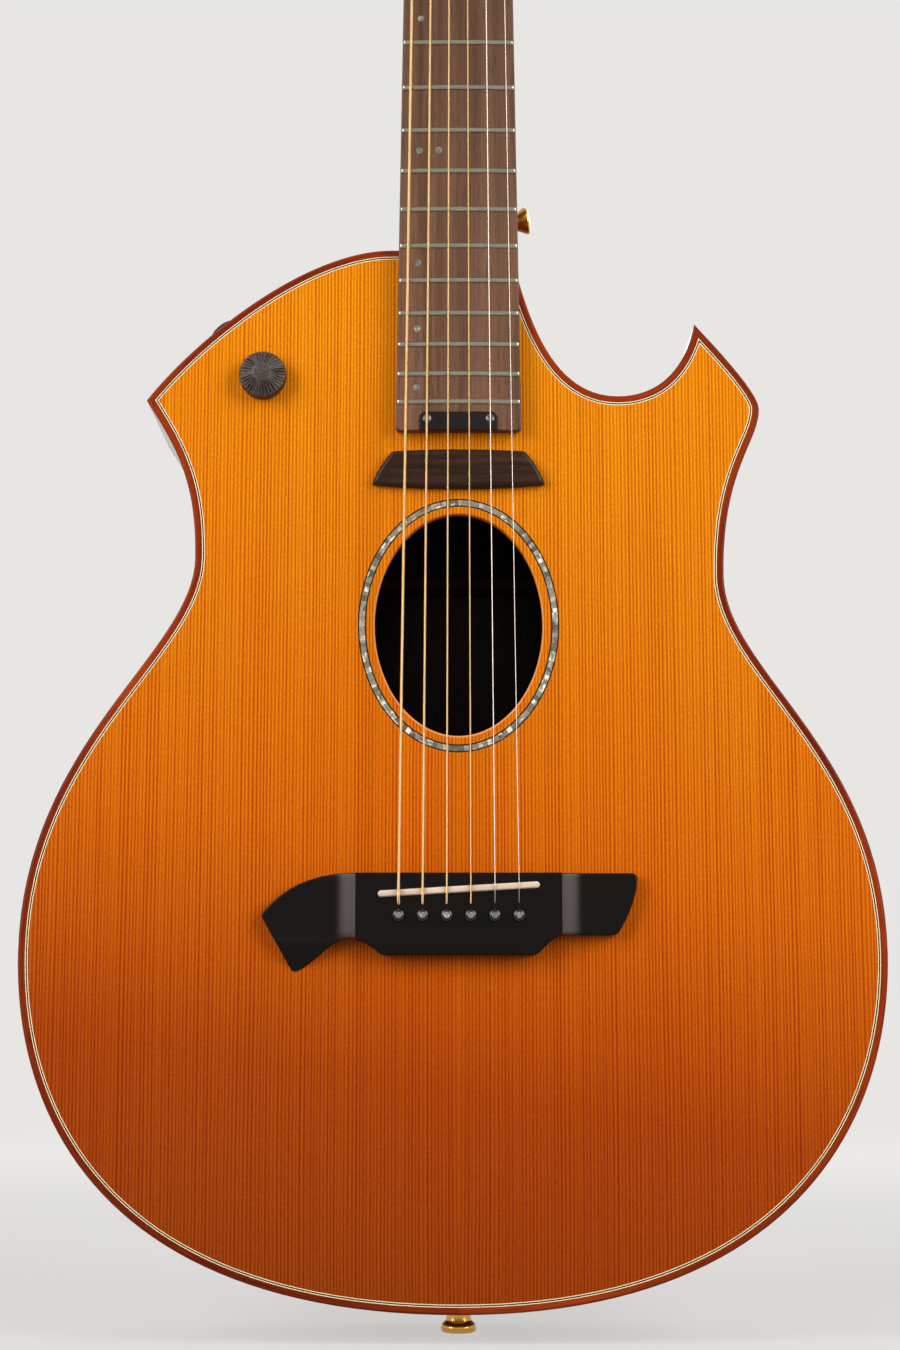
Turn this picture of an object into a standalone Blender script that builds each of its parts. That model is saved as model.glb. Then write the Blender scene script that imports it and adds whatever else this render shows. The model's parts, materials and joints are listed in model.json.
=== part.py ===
"""Steel-string acoustic-electric guitar with a deep treble cutaway, modelled piece by piece.

The guitar stands upright with its soundboard towards -Y and its neck towards +Z. The origin is the
tail: the lowest point of the rim, on the string centre line, halfway through the body's depth.
Most pieces are drawn in the maker's frame of the face empty: x across towards the treble side, y up
the neck from the tail, z out of the soundboard. The pegs use a second empty on the tilted headstock.
"""
import math

import bmesh
import bpy
from mathutils import Matrix, Vector

# The scale and the body, in metres
SCALE_LENGTH = 0.6477
JOINT_FRET = 14
BODY_LENGTH = 0.470
TAIL_DEPTH = 0.096
JOINT_DEPTH = 0.086
CLEARANCE = 0.0003
CUT_PAST = 0.002

# The body's outline: widths from the centre line, heights from the tail, drops from the neck joint
BASS_BOUT = 0.1915
TREBLE_BOUT = 0.1864
BOUT_HEIGHT = 0.153
BASS_WAIST = 0.1173
TREBLE_WAIST = 0.1179
BASS_WAIST_DROP = 0.142
TREBLE_WAIST_DROP = 0.150
BASS_HORN = 0.1402
BASS_HORN_DROP = 0.0700
SHOULDER_EDGE = 0.0305
CUTAWAY_EDGE = 0.0234
CUTAWAY_MIDDLE = 0.0716
CUTAWAY_DROP = 0.068
TREBLE_HORN = 0.1066
TREBLE_HORN_DROP = 0.0346
CORNER = 0.1351
CORNER_DROP = 0.074

# Shell
RIM_THICKNESS = 0.0030
SOUNDBOARD_THICKNESS = 0.0030
BACK_THICKNESS = 0.0028
BACK_ARCH = 0.0040
ARCH_OFFSET = 0.040
BINDING_WIDTH = 0.0032
BINDING_DEPTH = 0.0060
BINDING_ROUND = 0.0012
LINING_WIDTH = 0.0060
LINING_DEPTH = 0.0120

# Sound hole and its ring
HOLE_WIDTH = 0.0744
HOLE_LENGTH = 0.0992
HOLE_BELOW_BOARD = 0.0872
ROSETTE_MARGIN = 0.0038
ROSETTE_WIDTH = 0.0036
ROSETTE_DEPTH = 0.0015
HOLE_SIDES = 40

# Blocks and braces
BLOCK_THICKNESS = 0.020
TAIL_BLOCK_WIDTH = 0.070
NECK_BLOCK_WIDTH = 0.052
BRACE_WIDTH = 0.008
BRACE_HEIGHT = 0.014
BRACE_TIP = 0.004
X_BRACE_CLEAR = 0.0062
X_BRACE_ANGLE = math.radians(42)
TRANSVERSE_BELOW_BOARD = 0.0035
BACK_BRACE_LOWER_HEIGHT = 0.150
BACK_BRACE_UPPER_HEIGHT = 0.330
PLATE_WIDTH = 0.078
PLATE_LENGTH = 0.034
PLATE_THICKNESS = 0.0025

# Strings, from the first, thin, to the sixth, thick
STRING_DIAMETERS = (0.00030, 0.00041, 0.00061, 0.00081, 0.00107, 0.00135)
STRING_TURNS = (3.0, 3.0, 2.5, 2.5, 2.0, 2.0)
SPREAD_AT_SADDLE = 0.0520
SPREAD_AT_NUT = 0.0366
WINDING_STEPS = 10
WINDING_GAP = 0.0005
BALL_BELOW_PLATE = 0.0040
BEND_IN_BRIDGE = 0.0030
STRING_PAST_NUT = 0.0005

# Fingerboard, frets and nut
BOARD_WIDTH_AT_NUT = 0.0430
BOARD_WIDTH_AT_END = 0.0563
BOARD_PAST_LAST_FRET = 0.0129
BOARD_THICKNESS = 0.0060
BOARD_RADIUS = 0.406
FRET_COUNT = 19
FRET_WIDTH = 0.0024
FRET_CROWN = 0.0013
FRET_HEIGHT = 0.00095
NUT_THICKNESS = 0.0055
NUT_HEIGHT = 0.0076
NUT_ROUND = 0.0008
ADJUSTER_WIDTH = 0.0350
ADJUSTER_LENGTH = 0.0083
ADJUSTER_THICKNESS = 0.0032
ADJUSTER_CORNER = 0.0030

# Neck and headstock
NECK_THICKNESS_AT_NUT = 0.0150
NECK_THICKNESS_AT_HEEL = 0.0175
HEEL_DEPTH = 0.078
HEEL_REACH = 0.028
NECK_SQUARENESS = 2.3
HEEL_CHEEKS = 1.2
HEAD_SQUARENESS = 6.0
HEAD_ANGLE = math.radians(14)
HEAD_THICKNESS = 0.0150
HEAD_LENGTH = 0.172
HEAD_FLARE = 0.026
HEAD_CROWN = 0.016
HEAD_WIDTH_LOW = 0.064
HEAD_WIDTH_HIGH = 0.074
ROD_WIDTH = 0.0060
ROD_DEPTH = 0.0095
ROD_SHORT_AT_HEEL = 0.006
ROD_SHORT_AT_NUT = 0.010

# Tuning machines
PEG_FIRST = 0.044
PEG_SPACING = 0.042
PEG_INSET = 0.0095
POST_RADIUS = 0.0030
POST_HEIGHT = 0.0125
POST_ROUND = 0.0008
SLEEVE_RADIUS = 0.0049
FLANGE_RADIUS = 0.0070
FLANGE_THICKNESS = 0.0020
CASE_WIDTH = 0.0165
CASE_LENGTH = 0.0220
CASE_THICKNESS = 0.0105
CASE_SHIFT = 0.0010
CASE_ROUND = 0.0022
CASE_WALL = 0.0015
SHAFT_RADIUS = 0.0022
SHAFT_OUT = 0.0115
SHAFT_IN = 0.0032
BUTTON_LENGTH = 0.0175
BUTTON_WIDTH = 0.0205
BUTTON_THICKNESS = 0.0075
BUTTON_OVERLAP = 0.0020

# Bridge, saddle and pins
BRIDGE_HEIGHT = 0.0090
WING_HEIGHT = 0.0045
WING_FALL = 0.0005
BRIDGE_BLOCK_HALF = 0.0447
BRIDGE_BEFORE = 0.0058
BRIDGE_BEHIND = 0.0297
BRIDGE_FOOT_HALF = 0.0323
WING_SWEEP = 0.0100
WING_BEHIND = 0.0210
TREBLE_WING = 0.0776
TREBLE_WING_FOOT = 0.0681
BASS_WING = 0.0857
BASS_WING_BEHIND = 0.0125
BASS_TOE = 0.0730
BASS_TOE_BEHIND = 0.0353
BRIDGE_CORNER = 0.0025
SADDLE_LENGTH = 0.0701
SADDLE_THICKNESS = 0.0029
SADDLE_ABOVE = 0.0017
SADDLE_SLOT_DEPTH = 0.0065
SADDLE_SET_BACK = 0.0015
SADDLE_SLANT = math.radians(3.3)
PICKUP_STRIP = 0.0012
PICKUP_STRIP_SHORT = 0.0020
PIN_SET_BACK = 0.0127
PIN_HEAD_RADIUS = 0.0032
PIN_RADIUS = 0.0025
PIN_LENGTH = 0.024
PIN_HEAD_HEIGHT = 0.0030

# Controls, pickups and strap fittings
VOLUME_X = -0.0878
VOLUME_DROP = 0.0595
VOLUME_RADIUS = 0.0105
VOLUME_HEIGHT = 0.0095
STEM_RADIUS = 0.0030
PICKUP_BELOW_BOARD = 0.0080
PICKUP_HALF_WIDTH = 0.0386
PICKUP_TOP_HALF_WIDTH = 0.0296
PICKUP_LENGTH = 0.0153
PICKUP_ARC = 0.0018
PICKUP_BULGE = 0.0011
PICKUP_HEIGHT = 0.0038
COIL_WIDTH = 0.058
COIL_LENGTH = 0.0095
COIL_DEPTH = 0.014
PREAMP_FROM_HORN = 0.0505
PREAMP_PANEL_LENGTH = 0.060
PREAMP_PANEL_HEIGHT = 0.058
PREAMP_PANEL_THICKNESS = 0.0016
PREAMP_BOX_LENGTH = 0.048
PREAMP_BOX_HEIGHT = 0.046
PREAMP_BOX_THICKNESS = 0.028
PREAMP_TOP = 0.016
PREAMP_KNOB_RADIUS = 0.0065
PREAMP_KNOB_HEIGHT = 0.0060
PREAMP_KNOB_SPACING = 0.030
STRAP_ABOVE_JOINT = 0.0225
STRAP_DEPTH = 0.030
STRAP_TILT = math.radians(10)
STRAP_LENGTH = 0.0135
STRAP_RADIUS = 0.0064
STRAP_SEAT = 0.0030
STRAP_SCREW_RADIUS = 0.0016
STRAP_SCREW_LENGTH = 0.0140
JACK_BARREL = 0.0060
JACK_BORE = 0.0033
JACK_BORE_DEPTH = 0.030
JACK_LENGTH = 0.040
JACK_HEAD = 0.0078
JACK_OUT = 0.0125

# Places along the centre line, worked out from the scale
SADDLE_Y = BODY_LENGTH - SCALE_LENGTH / 2 ** (JOINT_FRET / 12)
NUT_Y = SADDLE_Y + SCALE_LENGTH
BOARD_END_Y = SADDLE_Y + SCALE_LENGTH / 2 ** (FRET_COUNT / 12) - BOARD_PAST_LAST_FRET
BOARD_LENGTH = NUT_Y - BOARD_END_Y
HOLE_Y = BOARD_END_Y - HOLE_BELOW_BOARD
PIN_Y = SADDLE_Y - PIN_SET_BACK
HEAD_Y = NUT_Y + NUT_THICKNESS
BRIDGE_TOP = CLEARANCE + BRIDGE_HEIGHT
SADDLE_TOP = BRIDGE_TOP + SADDLE_ABOVE
INSIDE = max(RIM_THICKNESS, BINDING_WIDTH) + CLEARANCE

for old in list(bpy.data.objects):
    bpy.data.objects.remove(old)

PARTS = bpy.data.collections.new("acoustic_electric_guitar")
CUTTERS = bpy.data.collections.new("cutters")
bpy.context.scene.collection.children.link(PARTS)
bpy.context.scene.collection.children.link(CUTTERS)


def empty(name, parent, location, rotation):
    """An empty that carries a frame of its own."""
    obj = bpy.data.objects.new(name, None)
    PARTS.objects.link(obj)
    obj.parent = parent
    obj.location = location
    obj.rotation_euler = rotation
    return obj


FACE = empty("face_frame", None, (0, -TAIL_DEPTH / 2, 0), (math.pi / 2, 0, 0))
HEAD = empty("head_frame", FACE, (0, HEAD_Y, 0), (-HEAD_ANGLE, 0, 0))
HEAD_IN_FACE = Matrix.Translation((0, HEAD_Y, 0)) @ Matrix.Rotation(-HEAD_ANGLE, 4, "X")


def material(name, colour, roughness, metallic=0.0):
    """A Principled material with one colour."""
    made = bpy.data.materials.new(name)
    made.use_nodes = True
    shader = made.node_tree.nodes["Principled BSDF"]
    shader.inputs["Base Color"].default_value = (*colour, 1)
    shader.inputs["Roughness"].default_value = roughness
    shader.inputs["Metallic"].default_value = metallic
    return made


SPRUCE = material("amber_spruce", (0.62, 0.22, 0.02), 0.35)
REDWOOD = material("red_brown_wood", (0.22, 0.05, 0.015), 0.30)
MAHOGANY = material("neck_mahogany", (0.25, 0.08, 0.03), 0.35)
ROSEWOOD = material("rosewood", (0.10, 0.04, 0.025), 0.50)
EBONY = material("ebony", (0.012, 0.010, 0.009), 0.40)
PALE_WOOD = material("pale_bracing_wood", (0.60, 0.42, 0.24), 0.70)
PEARL = material("abalone", (0.45, 0.48, 0.42), 0.25)
BONE = material("bone", (0.80, 0.72, 0.58), 0.40)
BLACK_PLASTIC = material("black_plastic", (0.02, 0.02, 0.02), 0.35)
GOLD = material("gold_plate", (0.83, 0.55, 0.18), 0.22, 1.0)
STEEL = material("steel", (0.55, 0.55, 0.55), 0.35, 1.0)
BRONZE = material("bronze_winding", (0.80, 0.52, 0.28), 0.35, 1.0)


def place(name, data, parent=FACE, location=(0, 0, 0), rotation=(0, 0, 0), finish=None):
    """An object in the part's collection, or a hidden cutter when it has no material."""
    obj = bpy.data.objects.new(name, data)
    obj.parent = parent
    obj.location = location
    obj.rotation_euler = rotation
    if finish is None:
        CUTTERS.objects.link(obj)
        obj.hide_render = True
        obj.display_type = "WIRE"
    else:
        PARTS.objects.link(obj)
        obj.data.materials.append(finish)
    return obj


def boolean(obj, other, operation="DIFFERENCE"):
    """Cuts obj by other, joins it or keeps what they share. Other stays as a hidden cutter."""
    modifier = obj.modifiers.new(f"{operation.lower()}_{other.name}", "BOOLEAN")
    modifier.operation = operation
    modifier.object = other
    return obj


def smooth(obj, degrees=35):
    """Shades a round piece smooth, with its hard edges kept."""
    obj.data.shade_smooth()
    obj.data.set_sharp_from_angle(angle=math.radians(degrees))
    return obj


def knot_loop(knots):
    """Points along a closed outline of cubic curves. A knot is x, y, the direction in and out of it
    in degrees, how far the curve leans along each as a share of the chord, and the steps that follow."""
    points = []
    for start, end in zip(knots, knots[1:] + knots[:1]):
        p0, p3 = Vector(start[:2]), Vector(end[:2])
        chord = (p3 - p0).length
        leave, arrive = math.radians(start[3]), math.radians(end[2])
        p1 = p0 + start[5] * chord * Vector((math.cos(leave), math.sin(leave)))
        p2 = p3 - end[4] * chord * Vector((math.cos(arrive), math.sin(arrive)))
        for step in range(start[6]):
            t = step / start[6]
            s = 1 - t
            points.append(s**3 * p0 + 3 * s * s * t * p1 + 3 * s * t * t * p2 + t**3 * p3)
    return points


def distance_to_loop(point, loop):
    """The least distance from a point to a closed run of straight edges."""
    least = math.inf
    for a, b in zip(loop, loop[1:] + loop[:1]):
        along = b - a
        share = max(0.0, min(1.0, (point - a).dot(along) / along.length_squared))
        least = min(least, (point - a - share * along).length)
    return least


def inset(loop, amount):
    """The loop moved inwards by amount, with mitred corners. A point that would come nearer than
    amount to another stretch of the outline, as behind a horn's tip, is left out."""
    moved = []
    for before, here, after in zip(loop[-1:] + loop[:-1], loop, loop[1:] + loop[:1]):
        first = (here - before).normalized()
        second = (after - here).normalized()
        normal = Vector((first.y + second.y, -first.x - second.x)).normalized()
        stretch = 1 / max(0.3, normal.dot(Vector((first.y, -first.x))))
        point = here + normal * amount * stretch
        if distance_to_loop(point, loop) > 0.999 * amount:
            moved.append(point)
    return moved


def reach(loop, start, direction):
    """How far a straight line from start runs before it meets the loop."""
    found = []
    for a, b in zip(loop, loop[1:] + loop[:1]):
        edge = b - a
        cross = direction.x * edge.y - direction.y * edge.x
        if abs(cross) < 1e-12:
            continue
        gap = a - start
        along = (gap.x * edge.y - gap.y * edge.x) / cross
        share = (gap.x * direction.y - gap.y * direction.x) / cross
        if along > 0 and 0 <= share <= 1:
            found.append(along)
    return min(found)


def ellipse(width, length, centre_y, sides=HOLE_SIDES):
    """A closed ellipse on the centre line."""
    turns = [2 * math.pi * i / sides for i in range(sides)]
    return [Vector((width / 2 * math.cos(a), centre_y + length / 2 * math.sin(a))) for a in turns]


def mesh_of(curve, name):
    """The filled mesh of a curve, with its loose caps welded."""
    guide = bpy.data.objects.new(name, curve)
    bpy.context.scene.collection.objects.link(guide)
    graph = bpy.context.evaluated_depsgraph_get()
    mesh = bpy.data.meshes.new_from_object(guide.evaluated_get(graph))
    bpy.data.objects.remove(guide)
    shape = bmesh.new()
    shape.from_mesh(mesh)
    bmesh.ops.remove_doubles(shape, verts=shape.verts, dist=1e-6)
    shape.to_mesh(mesh)
    shape.free()
    return mesh


def slab(name, loops, low, high):
    """A flat outline with its holes, from z = low to z = high."""
    curve = bpy.data.curves.new(name, "CURVE")
    curve.dimensions = "2D"
    curve.fill_mode = "BOTH"
    curve.extrude = (high - low) / 2
    for loop in loops:
        spline = curve.splines.new("POLY")
        spline.points.add(len(loop) - 1)
        for point, (x, y) in zip(spline.points, loop):
            point.co = (x, y, 0, 1)
        spline.use_cyclic_u = True
    mesh = mesh_of(curve, name)
    mesh.transform(Matrix.Translation((0, 0, (low + high) / 2)))
    return mesh


def box(name, size, centre):
    """A block from the cube primitive."""
    shape = bmesh.new()
    bmesh.ops.create_cube(shape, size=1)
    bmesh.ops.scale(shape, vec=size, verts=shape.verts)
    bmesh.ops.translate(shape, vec=centre, verts=shape.verts)
    mesh = bpy.data.meshes.new(name)
    shape.to_mesh(mesh)
    shape.free()
    return mesh


def rod(name, radius, low, high, sides=16):
    """A cylinder along z."""
    shape = bmesh.new()
    bmesh.ops.create_cone(
        shape, cap_ends=True, segments=sides, radius1=radius, radius2=radius, depth=high - low
    )
    bmesh.ops.translate(shape, vec=(0, 0, (low + high) / 2), verts=shape.verts)
    mesh = bpy.data.meshes.new(name)
    shape.to_mesh(mesh)
    shape.free()
    return mesh


def loft(name, rings):
    """A closed skin through rings that have the same number of points, capped at both ends."""
    shape = bmesh.new()
    rows = [[shape.verts.new(point) for point in ring] for ring in rings]
    count = len(rows[0])
    for lower, upper in zip(rows, rows[1:]):
        for i in range(count):
            j = (i + 1) % count
            shape.faces.new((lower[i], lower[j], upper[j], upper[i]))
    shape.faces.new(list(reversed(rows[0])))
    shape.faces.new(rows[-1])
    bmesh.ops.recalc_face_normals(shape, faces=shape.faces)
    mesh = bpy.data.meshes.new(name)
    shape.to_mesh(mesh)
    shape.free()
    return mesh


def profile_mesh(name, profile):
    """An open line of (radius, z) points for a Screw modifier to turn."""
    mesh = bpy.data.meshes.new(name)
    edges = [(i, i + 1) for i in range(len(profile) - 1)]
    mesh.from_pydata([(radius, 0, z) for radius, z in profile], edges, [])
    return mesh


def turned(obj, steps=16):
    """Turns an object's profile into a solid of revolution about its own z."""
    screw = obj.modifiers.new("turning", "SCREW")
    screw.steps = steps
    screw.render_steps = steps
    screw.use_merge_vertices = True
    screw.merge_threshold = 1e-6
    screw.use_smooth_shade = True
    return obj


def rounded(obj, width, segments=2, limit=math.radians(40)):
    """Rounds an object's hard edges."""
    bevel = obj.modifiers.new("rounding", "BEVEL")
    bevel.width = width
    bevel.segments = segments
    bevel.limit_method = "ANGLE"
    bevel.angle_limit = limit
    return obj


def body_outline():
    """The outer edge of the binding, anticlockwise seen from behind, starting at the tail."""
    joint = BODY_LENGTH
    return knot_loop([
        (0, 0, 180, 180, 0.573, 0.577, 11),
        (-BASS_BOUT, BOUT_HEIGHT, 90, 90, 0.325, 0.490, 8),
        (-BASS_WAIST, joint - BASS_WAIST_DROP, 90, 90, 0.227, 0.420, 5),
        (-BASS_HORN, joint - BASS_HORN_DROP, 123, 53, 0.382, 0.280, 8),
        (-SHOULDER_EDGE, joint, 0, 0, 0.296, 0.100, 1),
        (CUTAWAY_EDGE, joint, 0, -74, 0.100, 0.290, 6),
        (CUTAWAY_MIDDLE, joint - CUTAWAY_DROP, 0, 0, 0.392, 0.510, 5),
        (TREBLE_HORN, joint - TREBLE_HORN_DROP, 79, -49, 0.250, 0.226, 3),
        (CORNER, joint - CORNER_DROP, -91, -91, 0.164, 0.200, 5),
        (TREBLE_WAIST, joint - TREBLE_WAIST_DROP, -90, -90, 0.618, 0.244, 8),
        (TREBLE_BOUT, BOUT_HEIGHT, -90, -90, 0.500, 0.314, 11),
    ])


OUTLINE = body_outline()
CAVITY = inset(OUTLINE, INSIDE)
PLATE_EDGE = inset(OUTLINE, BINDING_WIDTH + CLEARANCE)
WORKSPACE = inset(OUTLINE, INSIDE + LINING_WIDTH + CLEARANCE)
ARCH_CENTRE = Vector((ARCH_OFFSET, BOUT_HEIGHT))


def body_depth(y):
    """The depth of the body at height y: it is deepest at the tail and tapers to the neck joint."""
    return TAIL_DEPTH + (JOINT_DEPTH - TAIL_DEPTH) * y / BODY_LENGTH


def arch(x, y):
    """How far the arched back bulges at a place: none at its edge, all of it at the arch's centre."""
    offset = Vector((x, y)) - ARCH_CENTRE
    if offset.length < 1e-9:
        return BACK_ARCH
    share = offset.length / reach(PLATE_EDGE, ARCH_CENTRE, offset.normalized())
    return BACK_ARCH * max(0.0, 1 - share**2)


def follow_back(mesh, rise):
    """Moves a slab's rear face onto the tapered back plane, rise in front of it."""
    middle = sum(v.co.z for v in mesh.vertices) / len(mesh.vertices)
    for vertex in mesh.vertices:
        if vertex.co.z < middle:
            vertex.co.z = rise - body_depth(vertex.co.y)
    return mesh


def hang_on_back(mesh, reference):
    """Moves a whole slab, drawn about z = 0 as if the back were flat there, onto the back plane."""
    for vertex in mesh.vertices:
        vertex.co.z += reference - body_depth(vertex.co.y)
    return mesh


def round_outer_edge(obj, z_of_edge, width):
    """A bevel on the one edge of a ring that lies on the outline at the height z_of_edge gives."""
    weights = obj.data.attributes.new("bevel_weight_edge", "FLOAT", "EDGE")
    on_edge = [
        abs(v.co.z - z_of_edge(v.co.y)) < 1e-5 and distance_to_loop(v.co.xy, OUTLINE) < 1e-5
        for v in obj.data.vertices
    ]
    for edge in obj.data.edges:
        a, b = edge.vertices
        weights.data[edge.index].value = 1.0 if on_edge[a] and on_edge[b] else 0.0
    bevel = obj.modifiers.new("round_over", "BEVEL")
    bevel.limit_method = "WEIGHT"
    bevel.width = width
    bevel.segments = 1
    return obj


def bindings():
    """Rounded wooden edge strips let in round the top and round the back."""
    bound = inset(OUTLINE, BINDING_WIDTH)
    top = place("top_binding", slab("top_binding", [OUTLINE, bound], -BINDING_DEPTH, 0), finish=REDWOOD)
    round_outer_edge(top, lambda y: 0.0, BINDING_ROUND)
    ring = hang_on_back(slab("back_binding", [OUTLINE, bound], 0, BINDING_DEPTH), 0)
    back = place("back_binding", ring, finish=REDWOOD)
    round_outer_edge(back, lambda y: -body_depth(y), BINDING_ROUND)


def rim(openings):
    """The bent side of the body, a thin wall between the two bindings."""
    front = -BINDING_DEPTH - CLEARANCE
    wall = slab("rim", [OUTLINE, inset(OUTLINE, RIM_THICKNESS)], front - TAIL_DEPTH / 2, front)
    side = place("rim", follow_back(wall, BINDING_DEPTH + CLEARANCE), finish=REDWOOD)
    for opening in openings:
        boolean(side, opening)


def linings():
    """Glue ledges inside the rim, one under the soundboard and one on the back."""
    loops = [CAVITY, inset(OUTLINE, INSIDE + LINING_WIDTH)]
    under_top = -SOUNDBOARD_THICKNESS - CLEARANCE
    top = slab("top_lining", loops, under_top - LINING_DEPTH, under_top)
    place("top_lining", top, finish=PALE_WOOD)
    low = BACK_THICKNESS + CLEARANCE
    back = hang_on_back(slab("back_lining", loops, low, low + LINING_DEPTH), 0)
    place("back_lining", back, finish=PALE_WOOD)


def soundboard(openings):
    """The flat top, with its oval hole, the ring's groove and the holes for what passes through."""
    hole = ellipse(HOLE_WIDTH, HOLE_LENGTH, HOLE_Y)
    plate = slab("soundboard", [PLATE_EDGE, hole], -SOUNDBOARD_THICKNESS, 0)
    top = place("soundboard", plate, finish=SPRUCE)
    for opening in openings:
        boolean(top, opening)


def ring_loops(side_gap):
    """The two ovals of the sound hole's ring, drawn in by side_gap on each side."""
    inner = 2 * (ROSETTE_MARGIN + side_gap)
    outer = 2 * (ROSETTE_MARGIN + ROSETTE_WIDTH - side_gap)
    return [
        ellipse(HOLE_WIDTH + outer, HOLE_LENGTH + outer, HOLE_Y),
        ellipse(HOLE_WIDTH + inner, HOLE_LENGTH + inner, HOLE_Y),
    ]


def rosette():
    """The pearl ring let into the soundboard round the hole."""
    ring = slab("rosette", ring_loops(CLEARANCE / 2), CLEARANCE - ROSETTE_DEPTH, 0)
    place("rosette", ring, finish=PEARL)


def rosette_groove():
    """The groove that the ring is let into."""
    groove = slab("rosette_groove", ring_loops(-CLEARANCE / 2), -ROSETTE_DEPTH, CUT_PAST)
    return place("rosette_groove", groove)


def back_plate():
    """The arched back, as rings of the outline that shrink towards the arch's centre."""
    shares = (1.0, 0.75, 0.4)
    shape = bmesh.new()
    skins = []
    for thickness in (0.0, BACK_THICKNESS):
        rows = []
        for share in shares:
            row = []
            for point in PLATE_EDGE:
                x, y = ARCH_CENTRE + (point - ARCH_CENTRE) * share
                z = thickness - body_depth(y) - BACK_ARCH * (1 - share**2)
                row.append(shape.verts.new((x, y, z)))
            rows.append(row)
        x, y = ARCH_CENTRE
        rows.append([shape.verts.new((x, y, thickness - body_depth(y) - BACK_ARCH))])
        skins.append(rows)
    count = len(PLATE_EDGE)
    for rows in skins:
        for outer, inner in zip(rows[:-2], rows[1:-1]):
            for i in range(count):
                j = (i + 1) % count
                shape.faces.new((outer[i], outer[j], inner[j], inner[i]))
        for i in range(count):
            shape.faces.new((rows[-2][i], rows[-2][(i + 1) % count], rows[-1][0]))
    for i in range(count):
        j = (i + 1) % count
        shape.faces.new((skins[0][0][i], skins[0][0][j], skins[1][0][j], skins[1][0][i]))
    bmesh.ops.recalc_face_normals(shape, faces=shape.faces)
    mesh = bpy.data.meshes.new("back_plate")
    shape.to_mesh(mesh)
    shape.free()
    smooth(place("back_plate", mesh, finish=REDWOOD))


def blocks(jack_hole):
    """Wooden blocks inside the tail and under the neck joint, shaped to the rim between the linings."""
    front = -SOUNDBOARD_THICKNESS - LINING_DEPTH - 2 * CLEARANCE
    rear = BACK_THICKNESS + LINING_DEPTH + 2 * CLEARANCE - JOINT_DEPTH
    room = place("cavity_guide", slab("cavity_guide", [CAVITY], -2 * TAIL_DEPTH, 0))
    for name, width, middle in (
        ("tail_block", TAIL_BLOCK_WIDTH, 0.0),
        ("neck_block", NECK_BLOCK_WIDTH, BODY_LENGTH),
    ):
        size = (width, 2 * (BLOCK_THICKNESS + INSIDE), front - rear)
        block = place(name, box(name, size, (0, middle, (front + rear) / 2)), finish=PALE_WOOD)
        boolean(block, room, "INTERSECT")
        if name == "tail_block":
            boolean(block, jack_hole)


def brace_ring(centre, across, feet, crest):
    """One section of a brace: a bar that narrows from its two feet to its crest."""
    half, top = across * BRACE_WIDTH / 2, across * BRACE_WIDTH / 4
    corners = (
        (centre - half, feet[0]),
        (centre + half, feet[1]),
        (centre + top, crest),
        (centre - top, crest),
    )
    return [Vector((corner.x, corner.y, z)) for corner, z in corners]


def top_brace(name, start, end):
    """A tapered bar glued under the soundboard from one place to another."""
    along = end - start
    across = Vector((-along.y, along.x)).normalized()
    base = -SOUNDBOARD_THICKNESS - CLEARANCE
    rings = []
    for share, height in ((0, BRACE_TIP), (0.15, BRACE_HEIGHT), (0.85, BRACE_HEIGHT), (1, BRACE_TIP)):
        rings.append(brace_ring(start + share * along, across, (base, base), base - height))
    return loft(name, rings)


def top_bracing():
    """The X brace, half-lapped where its bars cross, and the bar across the upper bout."""
    past_plate = PLATE_WIDTH / 2 + X_BRACE_CLEAR + BRACE_WIDTH / 2 / math.sin(X_BRACE_ANGLE)
    cross = Vector((0, PIN_Y + PLATE_LENGTH / 2 + past_plate * math.tan(X_BRACE_ANGLE)))
    bars = []
    for side in (-1, 1):
        down = Vector((side * math.cos(X_BRACE_ANGLE), -math.sin(X_BRACE_ANGLE)))
        low = cross + down * (reach(WORKSPACE, cross, down) - BRACE_WIDTH)
        high = cross - down * (reach(WORKSPACE, cross, -down) - BRACE_WIDTH)
        bars.append(top_brace(f"x_bar_{side}", low, high))
    brace = place("x_brace", bars[0], finish=PALE_WOOD)
    boolean(brace, place("x_bar_cross", bars[1]), "UNION")
    middle = Vector((0, BOARD_END_Y - TRANSVERSE_BELOW_BOARD))
    ends = [
        middle + side * (reach(WORKSPACE, middle, side) - BRACE_WIDTH / 2)
        for side in (Vector((-1, 0)), Vector((1, 0)))
    ]
    place("transverse_brace", top_brace("transverse_brace", *ends), finish=PALE_WOOD)


def back_bracing():
    """Two bars across the back. Their feet follow its arch."""
    steps = 10
    for name, height in (
        ("back_brace_lower", BACK_BRACE_LOWER_HEIGHT),
        ("back_brace_upper", BACK_BRACE_UPPER_HEIGHT),
    ):
        middle = Vector((0, height))
        left = reach(WORKSPACE, middle, Vector((-1, 0))) - BRACE_WIDTH / 2
        right = reach(WORKSPACE, middle, Vector((1, 0))) - BRACE_WIDTH / 2
        rings = []
        for step in range(steps + 1):
            x = -left + (left + right) * step / steps
            feet = [
                BACK_THICKNESS + CLEARANCE - body_depth(y) - arch(x, y)
                for y in (height - BRACE_WIDTH / 2, height + BRACE_WIDTH / 2)
            ]
            rise = BRACE_TIP if step in (0, steps) else BRACE_HEIGHT
            rings.append(brace_ring(Vector((x, height)), Vector((0, 1)), feet, max(feet) + rise))
        place(name, loft(name, rings), finish=PALE_WOOD)


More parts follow.
